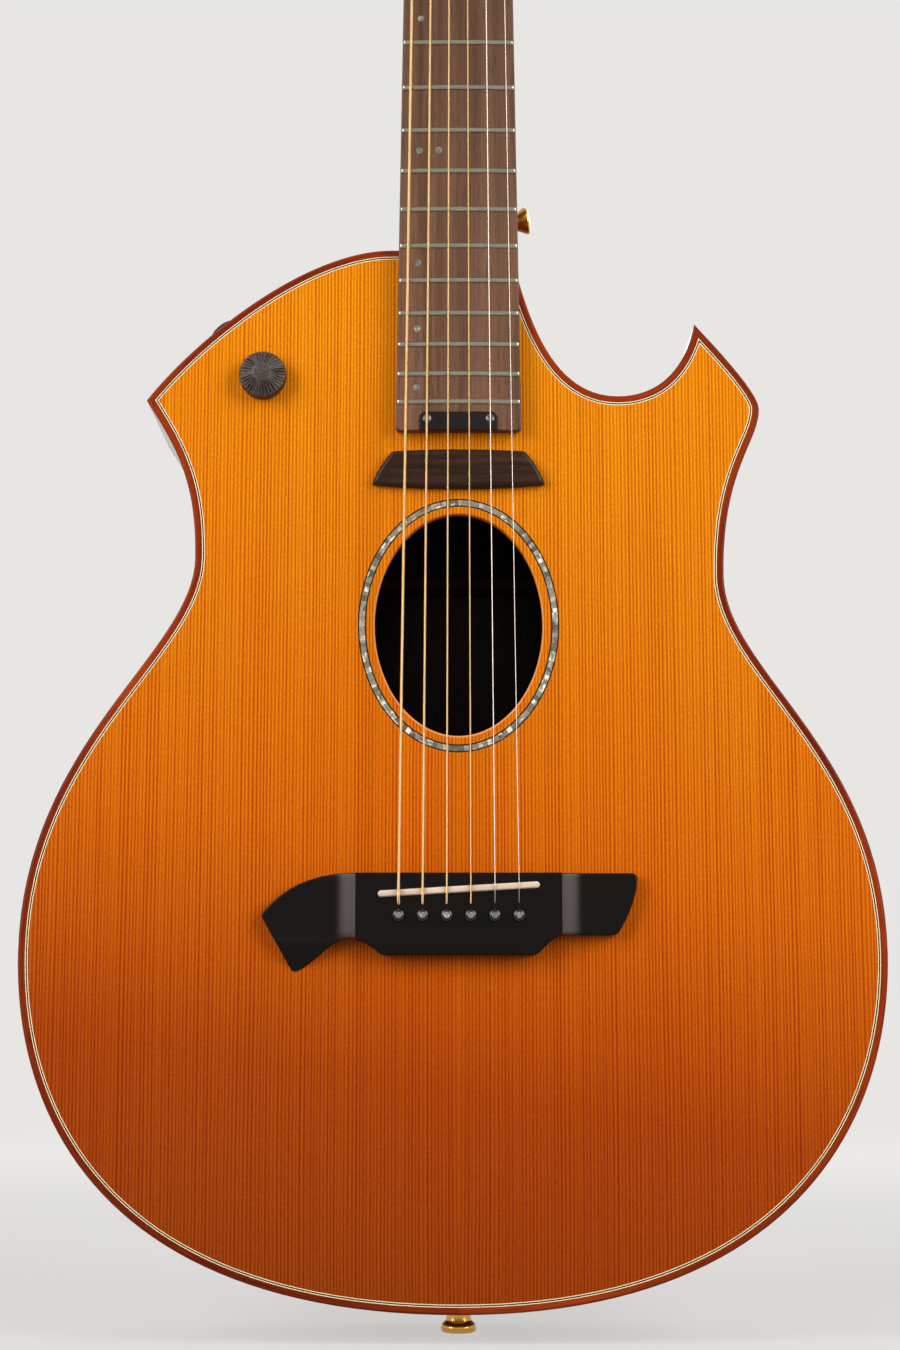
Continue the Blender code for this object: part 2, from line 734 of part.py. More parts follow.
def pin_hole(number, x):
    """A pin's round hole with the string's slot on its saddle side, right through to the inside."""
    hole = PIN_RADIUS + CLEARANCE
    slot = STRING_DIAMETERS[number - 1] / 2 + 2 * CLEARANCE
    end = PIN_HEAD_RADIUS + 2 * slot
    start = math.asin(slot / hole)
    sides = 9
    turn = (2 * math.pi - 2 * start) / sides
    round_part = [math.pi / 2 + start + turn * i for i in range(sides + 1)]
    loop = [Vector((x + hole * math.cos(a), PIN_Y + hole * math.sin(a))) for a in round_part]
    loop += [Vector((x + slot, PIN_Y + end)), Vector((x - slot, PIN_Y + end))]
    return place(f"pin_hole_{number}", slab(f"pin_hole_{number}", [loop], -PIN_LENGTH, BRIDGE_TOP + CUT_PAST))


def string_x(number, y):
    """Where a string lies across the neck at height y. The first string is on the treble side."""
    share = (y - SADDLE_Y) / SCALE_LENGTH
    spread = SPREAD_AT_SADDLE + (SPREAD_AT_NUT - SPREAD_AT_SADDLE) * share
    return spread * (0.5 - (number - 1) / 5)


def bridge_plan():
    """The bridge seen from the front: a square treble wing and a swept bass wing with a long toe."""
    before, behind, block, foot = BRIDGE_BEFORE, -BRIDGE_BEHIND, BRIDGE_BLOCK_HALF, BRIDGE_FOOT_HALF
    corner = BRIDGE_CORNER
    toe = -BASS_TOE_BEHIND
    loop = knot_loop([
        (corner / 4 - BASS_WING, -BASS_WING_BEHIND - corner / 2, 118, 118, 0.160, 0.400, 2),
        (corner / 4 - BASS_WING, -BASS_WING_BEHIND + corner / 2, 52, 52, 0.400, 0.290, 5),
        (-block - corner, before, 0, 0, 0.420, 0.100, 1),
        (TREBLE_WING - corner, before, 0, 0, 0.100, 0.450, 2),
        (TREBLE_WING, before - corner, -90, -93, 0.450, 0.350, 4),
        (TREBLE_WING_FOOT + corner / 2, -WING_BEHIND + corner / 2, -122, -122, 0.300, 0.400, 2),
        (TREBLE_WING_FOOT - corner, -WING_BEHIND, 180, 180, 0.400, 0.100, 1),
        (block, -WING_BEHIND, 180, 180, 0.100, 0.200, 3),
        (foot + corner, behind + corner / 2, -136, -136, 0.300, 0.400, 2),
        (foot - corner / 2, behind, 180, 180, 0.400, 0.100, 1),
        (corner / 2 - foot, behind, 180, 180, 0.100, 0.400, 2),
        (-foot - corner, behind + corner / 2, 136, 136, 0.400, 0.300, 3),
        (-block - corner, -WING_BEHIND - corner / 2, 180, 180, 0.200, 0.300, 3),
        (-BASS_TOE + 2 * corner, toe, -149, -149, 0.400, 0.300, 2),
        (-BASS_TOE, toe, 118, 118, 0.500, 0.160, 1),
    ])
    return [Vector((x, SADDLE_Y + y)) for x, y in loop]


def bridge_height_profile():
    """The bridge seen along the strings: a full-height block with wings scooped down on both sides."""
    block, sweep = BRIDGE_BLOCK_HALF, WING_SWEEP
    reach_out = BASS_WING + sweep
    drop = BRIDGE_HEIGHT - WING_HEIGHT
    steps = 5
    scoop = [
        (block + sweep * i / steps, BRIDGE_TOP - drop * math.sin(math.pi / 2 * i / steps))
        for i in range(steps + 1)
    ]
    right = scoop + [(reach_out, BRIDGE_TOP - drop - WING_FALL)]
    top = [(-x, z) for x, z in reversed(right)] + right
    return [(x, 0.0, z) for x, z in [(-reach_out, CLEARANCE), *top, (reach_out, CLEARANCE)]]


def saddle_frame(obj):
    """Lays a piece drawn along x onto the saddle's slanted line."""
    obj.location = (0, SADDLE_Y - SADDLE_SET_BACK, 0)
    obj.rotation_euler = (0, 0, SADDLE_SLANT)
    return obj


def bridge(pin_holes):
    """The carved bridge, with its saddle slot and its pin holes."""
    body = place("bridge", slab("bridge", [bridge_plan()], CLEARANCE, BRIDGE_TOP), finish=EBONY)
    profile = bridge_height_profile()
    rings = [[(x, SADDLE_Y + y, z) for x, _, z in profile] for y in (-2 * BASS_TOE_BEHIND, BASS_TOE_BEHIND)]
    boolean(body, place("bridge_height_guide", loft("bridge_height_guide", rings)), "INTERSECT")
    slot_size = (SADDLE_LENGTH + 2 * CLEARANCE, SADDLE_THICKNESS + 2 * CLEARANCE, 2 * SADDLE_SLOT_DEPTH)
    slot = place("saddle_slot", box("saddle_slot", slot_size, (0, 0, BRIDGE_TOP)))
    boolean(body, saddle_frame(slot))
    for hole in pin_holes:
        boolean(body, hole)


def saddle():
    """The bone saddle in its slot, on the thin strip of the under-saddle pickup."""
    floor = BRIDGE_TOP - SADDLE_SLOT_DEPTH + CLEARANCE
    strip_size = (SADDLE_LENGTH - PICKUP_STRIP_SHORT, SADDLE_THICKNESS - CLEARANCE, PICKUP_STRIP)
    strip = box("saddle_pickup", strip_size, (0, 0, floor + PICKUP_STRIP / 2))
    saddle_frame(place("saddle_pickup", strip, finish=STEEL))
    low = floor + PICKUP_STRIP + CLEARANCE
    bone_size = (SADDLE_LENGTH, SADDLE_THICKNESS, SADDLE_TOP - low)
    bone = place("saddle", box("saddle", bone_size, (0, 0, (low + SADDLE_TOP) / 2)), finish=BONE)
    rounded(saddle_frame(bone), SADDLE_THICKNESS * 0.3, 2)


def bridge_pin(number):
    """A tapered pin with a ball head that wedges a string's end in the bridge."""
    neck = BRIDGE_TOP + CLEARANCE
    profile = [
        (0.0, neck + PIN_HEAD_HEIGHT),
        (PIN_HEAD_RADIUS * 0.55, neck + PIN_HEAD_HEIGHT * 0.9),
        (PIN_HEAD_RADIUS, neck + PIN_HEAD_HEIGHT * 0.4),
        (PIN_HEAD_RADIUS * 0.92, neck),
        (PIN_RADIUS, neck),
        (PIN_RADIUS * 0.85, neck - PIN_LENGTH + PIN_RADIUS),
        (0.0, neck - PIN_LENGTH),
    ]
    x = string_x(number, SADDLE_Y)
    pin = place(f"bridge_pin_{number}", profile_mesh("pin", profile), location=(x, PIN_Y, 0), finish=EBONY)
    turned(pin, 12)


def bridge_plate(pin_holes):
    """The hardwood plate under the soundboard that the string ends pull against."""
    top = -SOUNDBOARD_THICKNESS - CLEARANCE
    size = (PLATE_WIDTH, PLATE_LENGTH, PLATE_THICKNESS)
    plate = box("bridge_plate", size, (0, PIN_Y, top - PLATE_THICKNESS / 2))
    plate = place("bridge_plate", plate, finish=PALE_WOOD)
    for hole in pin_holes:
        boolean(plate, hole)


def board_half_width(y):
    """Half the fingerboard's width: it widens steadily from the nut to its end."""
    share = (NUT_Y - y) / BOARD_LENGTH
    return (BOARD_WIDTH_AT_NUT + (BOARD_WIDTH_AT_END - BOARD_WIDTH_AT_NUT) * share) / 2


def board_ring(y, rise):
    """One section of the fingerboard, its face bowed to the board's radius and lifted by rise."""
    half = board_half_width(y)
    floor = CLEARANCE
    top = floor + BOARD_THICKNESS + rise
    face = []
    for share in (-1, -0.4, 0.4, 1):
        x = share * half
        face.append(Vector((x, y, top - (BOARD_RADIUS - math.sqrt(BOARD_RADIUS**2 - x * x)))))
    return [Vector((half, y, floor)), Vector((-half, y, floor)), *face]


def fingerboard():
    """The tapered, bowed fingerboard with its frets pressed in, and the adjuster's pocket at its end."""
    rings = [board_ring(NUT_Y - CLEARANCE, 0)]
    for number in range(1, FRET_COUNT + 1):
        y = SADDLE_Y + SCALE_LENGTH / 2 ** (number / 12)
        for along, rise in (
            (FRET_WIDTH / 2, 0),
            (FRET_CROWN / 2, FRET_HEIGHT),
            (-FRET_CROWN / 2, FRET_HEIGHT),
            (-FRET_WIDTH / 2, 0),
        ):
            rings.append(board_ring(y + along, rise))
    rings.append(board_ring(BOARD_END_Y, 0))
    board = place("fingerboard", loft("fingerboard", rings), finish=ROSEWOOD)
    pocket = cover_loop(CLEARANCE)
    floor = CLEARANCE + BOARD_THICKNESS - ADJUSTER_THICKNESS - CLEARANCE
    boolean(board, place("cover_pocket", slab("cover_pocket", [pocket], floor, floor + BOARD_THICKNESS)))


def cover_loop(gap):
    """The adjuster cover's outline: square at the board's end, with round corners towards the nut."""
    half = ADJUSTER_WIDTH / 2 + gap
    corner = ADJUSTER_CORNER
    low = BOARD_END_Y if gap == 0 else BOARD_END_Y - CUT_PAST
    high = BOARD_END_Y + ADJUSTER_LENGTH + gap
    loop = [Vector((-half, low)), Vector((half, low))]
    for centre_x, start in ((half - corner, 0), (corner - half, math.pi / 2)):
        for step in range(4):
            a = start + math.pi / 2 * step / 3
            loop.append(Vector((centre_x + corner * math.cos(a), high - corner + corner * math.sin(a))))
    return loop


def adjuster_cover():
    """The black plate let into the board's end, over the neck rod's adjuster."""
    top = CLEARANCE + BOARD_THICKNESS
    cover = slab("adjuster_cover", [cover_loop(0)], top - ADJUSTER_THICKNESS, top)
    place("adjuster_cover", cover, finish=BLACK_PLASTIC)


def nut():
    """The bone nut on the neck, between the fingerboard and the headstock."""
    width = BOARD_WIDTH_AT_NUT
    size = (width, NUT_THICKNESS - CLEARANCE, NUT_HEIGHT - CLEARANCE)
    middle = (0, NUT_Y + (NUT_THICKNESS + CLEARANCE) / 2, (NUT_HEIGHT + CLEARANCE) / 2)
    rounded(place("nut", box("nut", size, middle), finish=BONE), NUT_ROUND, 2)


def neck_power(y):
    """How square the neck's section is: a plain D along the shaft, fuller on the heel's cheeks."""
    share = math.exp(-(y - BODY_LENGTH) / HEEL_REACH)
    return NECK_SQUARENESS + HEEL_CHEEKS * share * (1 - share)


def neck_section(half, depth, power, points=10):
    """A section of the neck: flat in front and a rounded D behind. A higher power is squarer."""
    section = []
    for step in range(points + 1):
        turn = math.pi * step / points
        cos, sin = math.cos(turn), math.sin(turn)
        x = half * math.copysign(abs(cos) ** (2 / power), cos)
        section.append((x, -depth * abs(sin) ** (2 / power)))
    return section


def neck_depth(y):
    """How deep the neck is behind the fingerboard: a slim taper, and the heel's curve at the joint."""
    share = (y - BODY_LENGTH) / (NUT_Y - BODY_LENGTH)
    slim = NECK_THICKNESS_AT_HEEL + (NECK_THICKNESS_AT_NUT - NECK_THICKNESS_AT_HEEL) * share
    return slim + (HEEL_DEPTH - slim) * math.exp(-(y - BODY_LENGTH) / HEEL_REACH)


def head_half_width(u):
    """Half the headstock's width u up from the nut: a quick flare, a slow taper out, a round crown."""
    flare = min(1.0, u / HEAD_FLARE)
    flare = flare * flare * (3 - 2 * flare)
    low = BOARD_WIDTH_AT_NUT + (HEAD_WIDTH_LOW - BOARD_WIDTH_AT_NUT) * flare
    width = low + (HEAD_WIDTH_HIGH - HEAD_WIDTH_LOW) * flare * u / HEAD_LENGTH
    crown = max(0.0, 1 - (HEAD_LENGTH - u) / HEAD_CROWN)
    return width / 2 * math.sqrt(1 - 0.55 * crown**2)


def neck(cutters):
    """The neck with its carved heel and its tilted headstock, one piece of wood."""
    rings = []
    length = NUT_Y - BODY_LENGTH
    heel = (0, 0.18, 0.40, 0.65, 0.96, 1.36, 1.86, 2.58, 3.75)
    stations = [BODY_LENGTH + CLEARANCE + HEEL_REACH * share for share in heel]
    stations += [BODY_LENGTH + length * share for share in (0.45, 0.65, 0.85, 0.97)]
    for y in stations + [HEAD_Y - NUT_THICKNESS / 5]:
        section = neck_section(board_half_width(y), neck_depth(y), neck_power(y))
        rings.append([Vector((x, y, z)) for x, z in section])
    up_head = [HEAD_FLARE * share for share in (0.2, 0.46, 0.77, 1.08)]
    up_head += [HEAD_LENGTH * share for share in (0.35, 0.60)]
    up_head += [HEAD_LENGTH - HEAD_CROWN * share for share in (1.4, 0.9, 0.45, 0.12, 0)]
    for u in up_head:
        power = NECK_SQUARENESS + HEAD_SQUARENESS * min(1.0, u / HEAD_FLARE)
        section = neck_section(head_half_width(u), HEAD_THICKNESS, power)
        rings.append([HEAD_IN_FACE @ Vector((x, u, z)) for x, z in section])
    wood = smooth(place("neck", loft("neck", rings), finish=MAHOGANY), 40)
    for cutter in cutters:
        boolean(wood, cutter)


def rod_channel():
    """The channel that the neck rod lies in, under the fingerboard."""
    low, high = BODY_LENGTH + ROD_SHORT_AT_HEEL, NUT_Y - ROD_SHORT_AT_NUT
    size = (ROD_WIDTH + 2 * CLEARANCE, high - low, 2 * (ROD_DEPTH + CLEARANCE))
    return place("rod_channel", box("rod_channel", size, (0, (low + high) / 2, 0)))


def truss_rod():
    """The steel rod that keeps the neck straight."""
    low, high = BODY_LENGTH + ROD_SHORT_AT_HEEL + CLEARANCE, NUT_Y - ROD_SHORT_AT_NUT - CLEARANCE
    size = (ROD_WIDTH, high - low, ROD_DEPTH)
    place("truss_rod", box("truss_rod", size, (0, (low + high) / 2, -ROD_DEPTH / 2)), finish=STEEL)


def peg_place(number):
    """Where a peg's post stands on the headstock: its x, and its distance from the nut. Pegs 1 to 3
    are on the treble side, and the outer strings go to the pegs nearest the nut."""
    row = (number - 1) if number <= 3 else (6 - number)
    u = PEG_FIRST + PEG_SPACING * row
    side = 1 if number <= 3 else -1
    return side, side * (head_half_width(u) - PEG_INSET), u


def tuning_machine(number):
    """One enclosed tuning machine: its case and sleeve, the string post and the turning button."""
    side, x, u = peg_place(number)
    case_top = -HEAD_THICKNESS - CLEARANCE
    case_low = case_top - CASE_THICKNESS
    shaft_z = case_top - CASE_THICKNESS / 2
    case_x = x - side * CASE_SHIFT
    case_mesh = box("case", (CASE_WIDTH, CASE_LENGTH, CASE_THICKNESS), (0, 0, shaft_z))
    case = place(f"tuner_housing_{number}", case_mesh, HEAD, (case_x, u, 0), finish=GOLD)
    rounded(case, CASE_ROUND, 1)
    flange_top = CLEARANCE + FLANGE_THICKNESS
    sleeve_profile = [
        (0, flange_top),
        (FLANGE_RADIUS * 0.85, flange_top),
        (FLANGE_RADIUS, flange_top - FLANGE_THICKNESS / 3),
        (FLANGE_RADIUS, CLEARANCE),
        (SLEEVE_RADIUS, CLEARANCE),
        (SLEEVE_RADIUS, shaft_z),
        (0, shaft_z),
    ]
    sleeve = place(f"sleeve_{number}", profile_mesh("sleeve", sleeve_profile), HEAD, (x, u, 0))
    boolean(case, turned(sleeve, 12), "UNION")
    bore_low = case_low + CASE_WALL
    bore = rod("post_bore", POST_RADIUS + CLEARANCE, bore_low, flange_top + CUT_PAST, 12)
    boolean(case, place(f"post_bore_{number}", bore, HEAD, (x, u, 0)))
    edge = abs(case_x) + CASE_WIDTH / 2
    turn = (0, side * math.pi / 2, 0)
    shaft_bore = rod("shaft_bore", SHAFT_RADIUS + CLEARANCE, -SHAFT_IN, SHAFT_OUT, 12)
    boolean(case, place(f"shaft_bore_{number}", shaft_bore, HEAD, (side * edge, u, shaft_z), turn))

    post_profile = [
        (0, POST_HEIGHT),
        (POST_RADIUS * 0.8, POST_HEIGHT),
        (POST_RADIUS, POST_HEIGHT - POST_ROUND),
        (POST_RADIUS, bore_low + CLEARANCE),
        (0, bore_low + CLEARANCE),
    ]
    post = place(f"tuner_post_{number}", profile_mesh("post", post_profile), HEAD, (x, u, 0), finish=GOLD)
    turned(post, 12)

    shaft = rod("button_shaft", SHAFT_RADIUS, CLEARANCE - SHAFT_IN, SHAFT_OUT, 12)
    place_of_shaft = (side * edge, u, shaft_z)
    button = place(f"tuner_button_{number}", shaft, HEAD, place_of_shaft, turn, finish=GOLD)
    paddle_size = (BUTTON_THICKNESS, BUTTON_WIDTH, BUTTON_LENGTH)
    paddle_mesh = box("paddle", paddle_size, (0, 0, SHAFT_OUT - BUTTON_OVERLAP + BUTTON_LENGTH / 2))
    paddle = place(f"paddle_{number}", paddle_mesh, HEAD, place_of_shaft, turn)
    soft = paddle.modifiers.new("pillow", "SUBSURF")
    soft.levels = 2
    soft.render_levels = 2
    boolean(button, paddle, "UNION")

    hole = rod("peg_hole", SLEEVE_RADIUS + CLEARANCE, -2 * HEAD_THICKNESS, HEAD_THICKNESS, 12)
    return place(f"peg_hole_{number}", hole, HEAD, (x, u, 0))


def string_route(number):
    """A string's centre line from its ball end under the bridge, over the saddle and the nut, to its
    turns on the post. The last item is the index where the turns start."""
    radius = STRING_DIAMETERS[number - 1] / 2
    lift = radius + CLEARANCE
    x_pin = string_x(number, SADDLE_Y)
    y_pin = PIN_Y + PIN_HEAD_RADIUS + lift
    y_saddle = SADDLE_Y - SADDLE_SET_BACK + x_pin * math.tan(SADDLE_SLANT)
    half_saddle = SADDLE_THICKNESS * 0.2
    ball = -SOUNDBOARD_THICKNESS - PLATE_THICKNESS - BALL_BELOW_PLATE
    route = [
        Vector((x_pin, y_pin, ball)),
        Vector((x_pin, y_pin, BRIDGE_TOP - BEND_IN_BRIDGE)),
        Vector((x_pin, y_pin + lift, BRIDGE_TOP + lift * 0.6)),
        Vector((x_pin, y_saddle - half_saddle, SADDLE_TOP + lift)),
        Vector((x_pin, y_saddle + half_saddle, SADDLE_TOP + lift)),
    ]
    x_nut = string_x(number, NUT_Y)
    route.append(Vector((x_nut, NUT_Y, NUT_HEIGHT + lift)))
    leave = Vector((x_nut, HEAD_Y + STRING_PAST_NUT, NUT_HEIGHT + lift))
    route.append(leave)
    side, x, u = peg_place(number)
    turn_radius = POST_RADIUS + lift
    away = (HEAD_IN_FACE.inverted() @ leave).xy - Vector((x, u))
    start = math.atan2(away.y, away.x) - side * math.acos(turn_radius / away.length)
    low = CLEARANCE + FLANGE_THICKNESS + lift + CLEARANCE
    pitch = 2 * radius + WINDING_GAP
    turns = STRING_TURNS[number - 1]
    count = int(turns * WINDING_STEPS)
    first = len(route)
    for step in range(count + 1):
        angle = start - side * 2 * math.pi * step / WINDING_STEPS
        point = (
            x + turn_radius * math.cos(angle),
            u + turn_radius * math.sin(angle),
            low + pitch * step / WINDING_STEPS,
        )
        route.append(HEAD_IN_FACE @ Vector(point))
    return route, first


def winding_gap(route, first, radius):
    """The least gap between two turns of a string on its post, measured point to point."""
    turns = route[first:]
    return min((a - b).length for a, b in zip(turns, turns[WINDING_STEPS:])) - 2 * radius


def string(number):
    """One string, as one unbroken wire with its ball end."""
    radius = STRING_DIAMETERS[number - 1] / 2
    route, first = string_route(number)
    curve = bpy.data.curves.new(f"string_{number}", "CURVE")
    curve.dimensions = "3D"
    curve.bevel_depth = radius
    curve.bevel_resolution = 1
    curve.use_fill_caps = True
    spline = curve.splines.new("POLY")
    spline.points.add(len(route) - 1)
    for point, place_of_point in zip(spline.points, route):
        point.co = (*place_of_point, 1)
    place(f"string_{number}", curve, finish=BRONZE if number > 2 else STEEL)
    print(f"string {number}: least gap between turns {winding_gap(route, first, radius) * 1000:.2f} mm")


def knob_mesh(name, radius, height, base, flutes, rows):
    """A fluted knob standing on z = base. A row is its share of the height, its share of the radius,
    and the shares that its flutes take off the radius and off the height."""
    count = 2 * flutes
    rings = []
    for rise, share, flute, groove in rows:
        ring = []
        for i in range(count):
            angle = 2 * math.pi * i / count
            r = radius * share * (1 - flute * (i % 2))
            z = base + height * (rise - groove * (i % 2))
            ring.append(Vector((r * math.cos(angle), r * math.sin(angle), z)))
        rings.append(ring)
    return loft(name, rings)


def fluted_knob(name, mesh, top, foot, parent, location, rotation, finish):
    """A knob with the stem that it turns on, from its foot up into the knob."""
    stem = rod(f"{name}_stem", STEM_RADIUS, foot, top, 12)
    knob = place(name, mesh, parent, location, rotation, finish)
    boolean(knob, place(f"{name}_stem", stem, parent, location, rotation), "UNION")
    return knob


def volume_knob():
    """The wooden knob on the bass side of the soundboard: a round rim, and a sloping face with radial
    grooves up to a flat middle. It returns its stem's hole."""
    where = (VOLUME_X, BODY_LENGTH - VOLUME_DROP, 0)
    rows = (
        (0.00, 0.96, 0, 0),
        (0.10, 1.00, 0, 0),
        (0.52, 1.00, 0, 0),
        (0.58, 0.94, 0, 0.05),
        (0.93, 0.42, 0, 0.05),
        (1.00, 0.35, 0, 0),
    )
    mesh = knob_mesh("volume_knob", VOLUME_RADIUS, VOLUME_HEIGHT, CLEARANCE, 20, rows)
    foot = -SOUNDBOARD_THICKNESS - 2 * STEM_RADIUS
    fluted_knob("volume_knob", mesh, VOLUME_HEIGHT / 2, foot, FACE, where, (0, 0, 0), EBONY)
    hole = rod("volume_hole", STEM_RADIUS + CLEARANCE, foot, VOLUME_HEIGHT, 12)
    return place("volume_hole", hole, location=where)


def pickup_loop():
    """The neck pickup's cover from the front: two bowed long edges and two slanted, bulging ends."""
    high = BOARD_END_Y - PICKUP_BELOW_BOARD - PICKUP_ARC / 2
    low = high - PICKUP_LENGTH
    loop = []
    steps = 8
    for step in range(steps + 1):
        share = 2 * step / steps - 1
        loop.append(Vector((PICKUP_HALF_WIDTH * share, low - PICKUP_ARC * (1 - share * share))))
    for side in (1, -1):
        for step in range(1, steps // 2):
            share = 2 * step / steps if side > 0 else 1 - 2 * step / steps
            half = PICKUP_HALF_WIDTH + (PICKUP_TOP_HALF_WIDTH - PICKUP_HALF_WIDTH) * share
            half += PICKUP_BULGE * 4 * share * (1 - share)
            loop.append(Vector((side * half, low + PICKUP_LENGTH * share)))
        if side > 0:
            for step in range(steps + 1):
                share = 1 - 2 * step / steps
                bow = PICKUP_ARC / 2 * (1 - share * share)
                loop.append(Vector((PICKUP_TOP_HALF_WIDTH * share, high + bow)))
    return loop


def neck_pickup():
    """The wooden pickup cover with its coil let through the soundboard. It returns the coil's slot."""
    cover = slab("pickup_cover", [pickup_loop()], CLEARANCE, CLEARANCE + PICKUP_HEIGHT)
    cover = place("pickup_cover", cover, finish=EBONY)
    middle = BOARD_END_Y - PICKUP_BELOW_BOARD - PICKUP_LENGTH / 2 - PICKUP_ARC / 2
    coil_size = (COIL_WIDTH, COIL_LENGTH, COIL_DEPTH)
    coil = box("coil", coil_size, (0, middle, PICKUP_HEIGHT / 2 - COIL_DEPTH / 2))
    boolean(cover, place("coil", coil), "UNION")
    slot_size = (COIL_WIDTH + 2 * CLEARANCE, COIL_LENGTH + 2 * CLEARANCE, 2 * COIL_DEPTH)
    return place("coil_slot", box("coil_slot", slot_size, (0, middle, 0)))


def along_rim(distance):
    """A place on the outline, distance along it from the bass horn towards the neck, and the outward
    direction there."""
    corner = Vector((-BASS_HORN, BODY_LENGTH - BASS_HORN_DROP))
    first = min(range(len(OUTLINE)), key=lambda i: (OUTLINE[i] - corner).length)
    run = OUTLINE[first:] + OUTLINE[:first]
    for a, b in zip(run, run[1:]):
        edge = b - a
        if distance <= edge.length:
            forward = edge.normalized()
            return a + forward * distance, Vector((-forward.y, forward.x))
        distance -= edge.length


def preamp():
    """The preamp in the bass shoulder: a thin plate bent to the rim, the box behind it and two
    knobs. It returns the hole in the rim."""
    steps = 11
    outer, inner = [], []
    for step in range(steps + 1):
        shift = PREAMP_PANEL_LENGTH * (step / steps - 0.5)
        point, outward = along_rim(PREAMP_FROM_HORN + shift)
        inner.append(point + outward * CLEARANCE)
        outer.append(point + outward * (CLEARANCE + PREAMP_PANEL_THICKNESS))
    low = -PREAMP_TOP - PREAMP_PANEL_HEIGHT
    plate = slab("preamp_panel", [outer + inner[::-1]], low, -PREAMP_TOP)
    panel = place("preamp_panel", plate, finish=BLACK_PLASTIC)
    middle, outward = along_rim(PREAMP_FROM_HORN)
    turn = math.atan2(outward.y, outward.x)
    depth = -PREAMP_TOP - PREAMP_PANEL_HEIGHT / 2
    where = (middle.x, middle.y, depth)
    outside = CLEARANCE + PREAMP_PANEL_THICKNESS / 2
    box_size = (PREAMP_BOX_THICKNESS + outside, PREAMP_BOX_LENGTH, PREAMP_BOX_HEIGHT)
    inside = box("preamp_box", box_size, ((outside - PREAMP_BOX_THICKNESS) / 2, 0, 0))
    boolean(panel, place("preamp_box", inside, FACE, where, (0, 0, turn)), "UNION")
    room = 2 * CLEARANCE
    hole_size = (PREAMP_BOX_THICKNESS, PREAMP_BOX_LENGTH + room, PREAMP_BOX_HEIGHT + room)
    hole = place("preamp_hole", box("preamp_hole", hole_size, (0, 0, 0)), FACE, where, (0, 0, turn))
    base = CLEARANCE + PREAMP_PANEL_THICKNESS + CLEARANCE
    foot = -2 * STEM_RADIUS
    rows = (
        (0.00, 0.90, 0.05, 0),
        (0.15, 1.00, 0.08, 0),
        (0.80, 1.00, 0.08, 0),
        (0.95, 0.82, 0.04, 0),
        (1.00, 0.62, 0, 0),
    )
    for name, side in (("preamp_knob_front", 0.5), ("preamp_knob_rear", -0.5)):
        spot = Vector((middle.x, middle.y, depth + side * PREAMP_KNOB_SPACING))
        aim = (math.pi / 2, 0, turn + math.pi / 2)
        mesh = knob_mesh(name, PREAMP_KNOB_RADIUS, PREAMP_KNOB_HEIGHT, base, 14, rows)
        fluted_knob(name, mesh, base + PREAMP_KNOB_HEIGHT / 2, foot, FACE, spot, aim, BLACK_PLASTIC)
        socket = rod("knob_socket", STEM_RADIUS + CLEARANCE, foot - CLEARANCE, PREAMP_KNOB_HEIGHT, 12)
        boolean(panel, place(f"{name}_socket", socket, FACE, spot, aim))
    return hole


def strap_aim():
    """The heel button's place on the heel's treble cheek, and the turn that points z along it."""
    y = BODY_LENGTH + STRAP_ABOVE_JOINT
    half, deep = board_half_width(y), neck_depth(y)
    power = neck_power(y)
    cheek = half * (1 - (STRAP_DEPTH / deep) ** power) ** (1 / power)
    aim = Vector((math.cos(STRAP_TILT), math.sin(STRAP_TILT), 0))
    return Vector((cheek, y, -STRAP_DEPTH)), aim.to_track_quat("Z", "Y")


def heel_strap_button():
    """The flared gold button on the heel, with its screw. It returns the seat cut for it."""
    base = -STRAP_SEAT
    tip = base + STRAP_LENGTH + CLEARANCE
    profile = [
        (0, tip),
        (STRAP_RADIUS * 0.8, tip),
        (STRAP_RADIUS, tip - STRAP_LENGTH * 0.07),
        (STRAP_RADIUS * 0.93, tip - STRAP_LENGTH * 0.18),
        (STRAP_RADIUS * 0.58, tip - STRAP_LENGTH * 0.52),
        (STRAP_RADIUS * 0.58, base + STRAP_LENGTH * 0.12),
        (STRAP_RADIUS * 0.80, base + CLEARANCE),
        (STRAP_SCREW_RADIUS, base + CLEARANCE),
        (STRAP_SCREW_RADIUS, base - STRAP_SCREW_LENGTH * 0.86),
        (0, base - STRAP_SCREW_LENGTH),
    ]
    where, turn = strap_aim()
    button = place("heel_strap_button", profile_mesh("strap_button", profile), location=where, finish=GOLD)
    seat_profile = [
        (0, 2 * STRAP_LENGTH),
        (STRAP_RADIUS * 0.80 + CLEARANCE, 2 * STRAP_LENGTH),
        (STRAP_RADIUS * 0.80 + CLEARANCE, base),
        (STRAP_SCREW_RADIUS + CLEARANCE, base),
        (STRAP_SCREW_RADIUS + CLEARANCE, base - STRAP_SCREW_LENGTH * 0.86 - CLEARANCE),
        (0, base - STRAP_SCREW_LENGTH - CLEARANCE),
    ]
    seat = place("strap_seat", profile_mesh("strap_seat", seat_profile), location=where)
    for obj in (button, seat):
        obj.rotation_mode = "QUATERNION"
        obj.rotation_quaternion = turn
        turned(obj)
    return seat


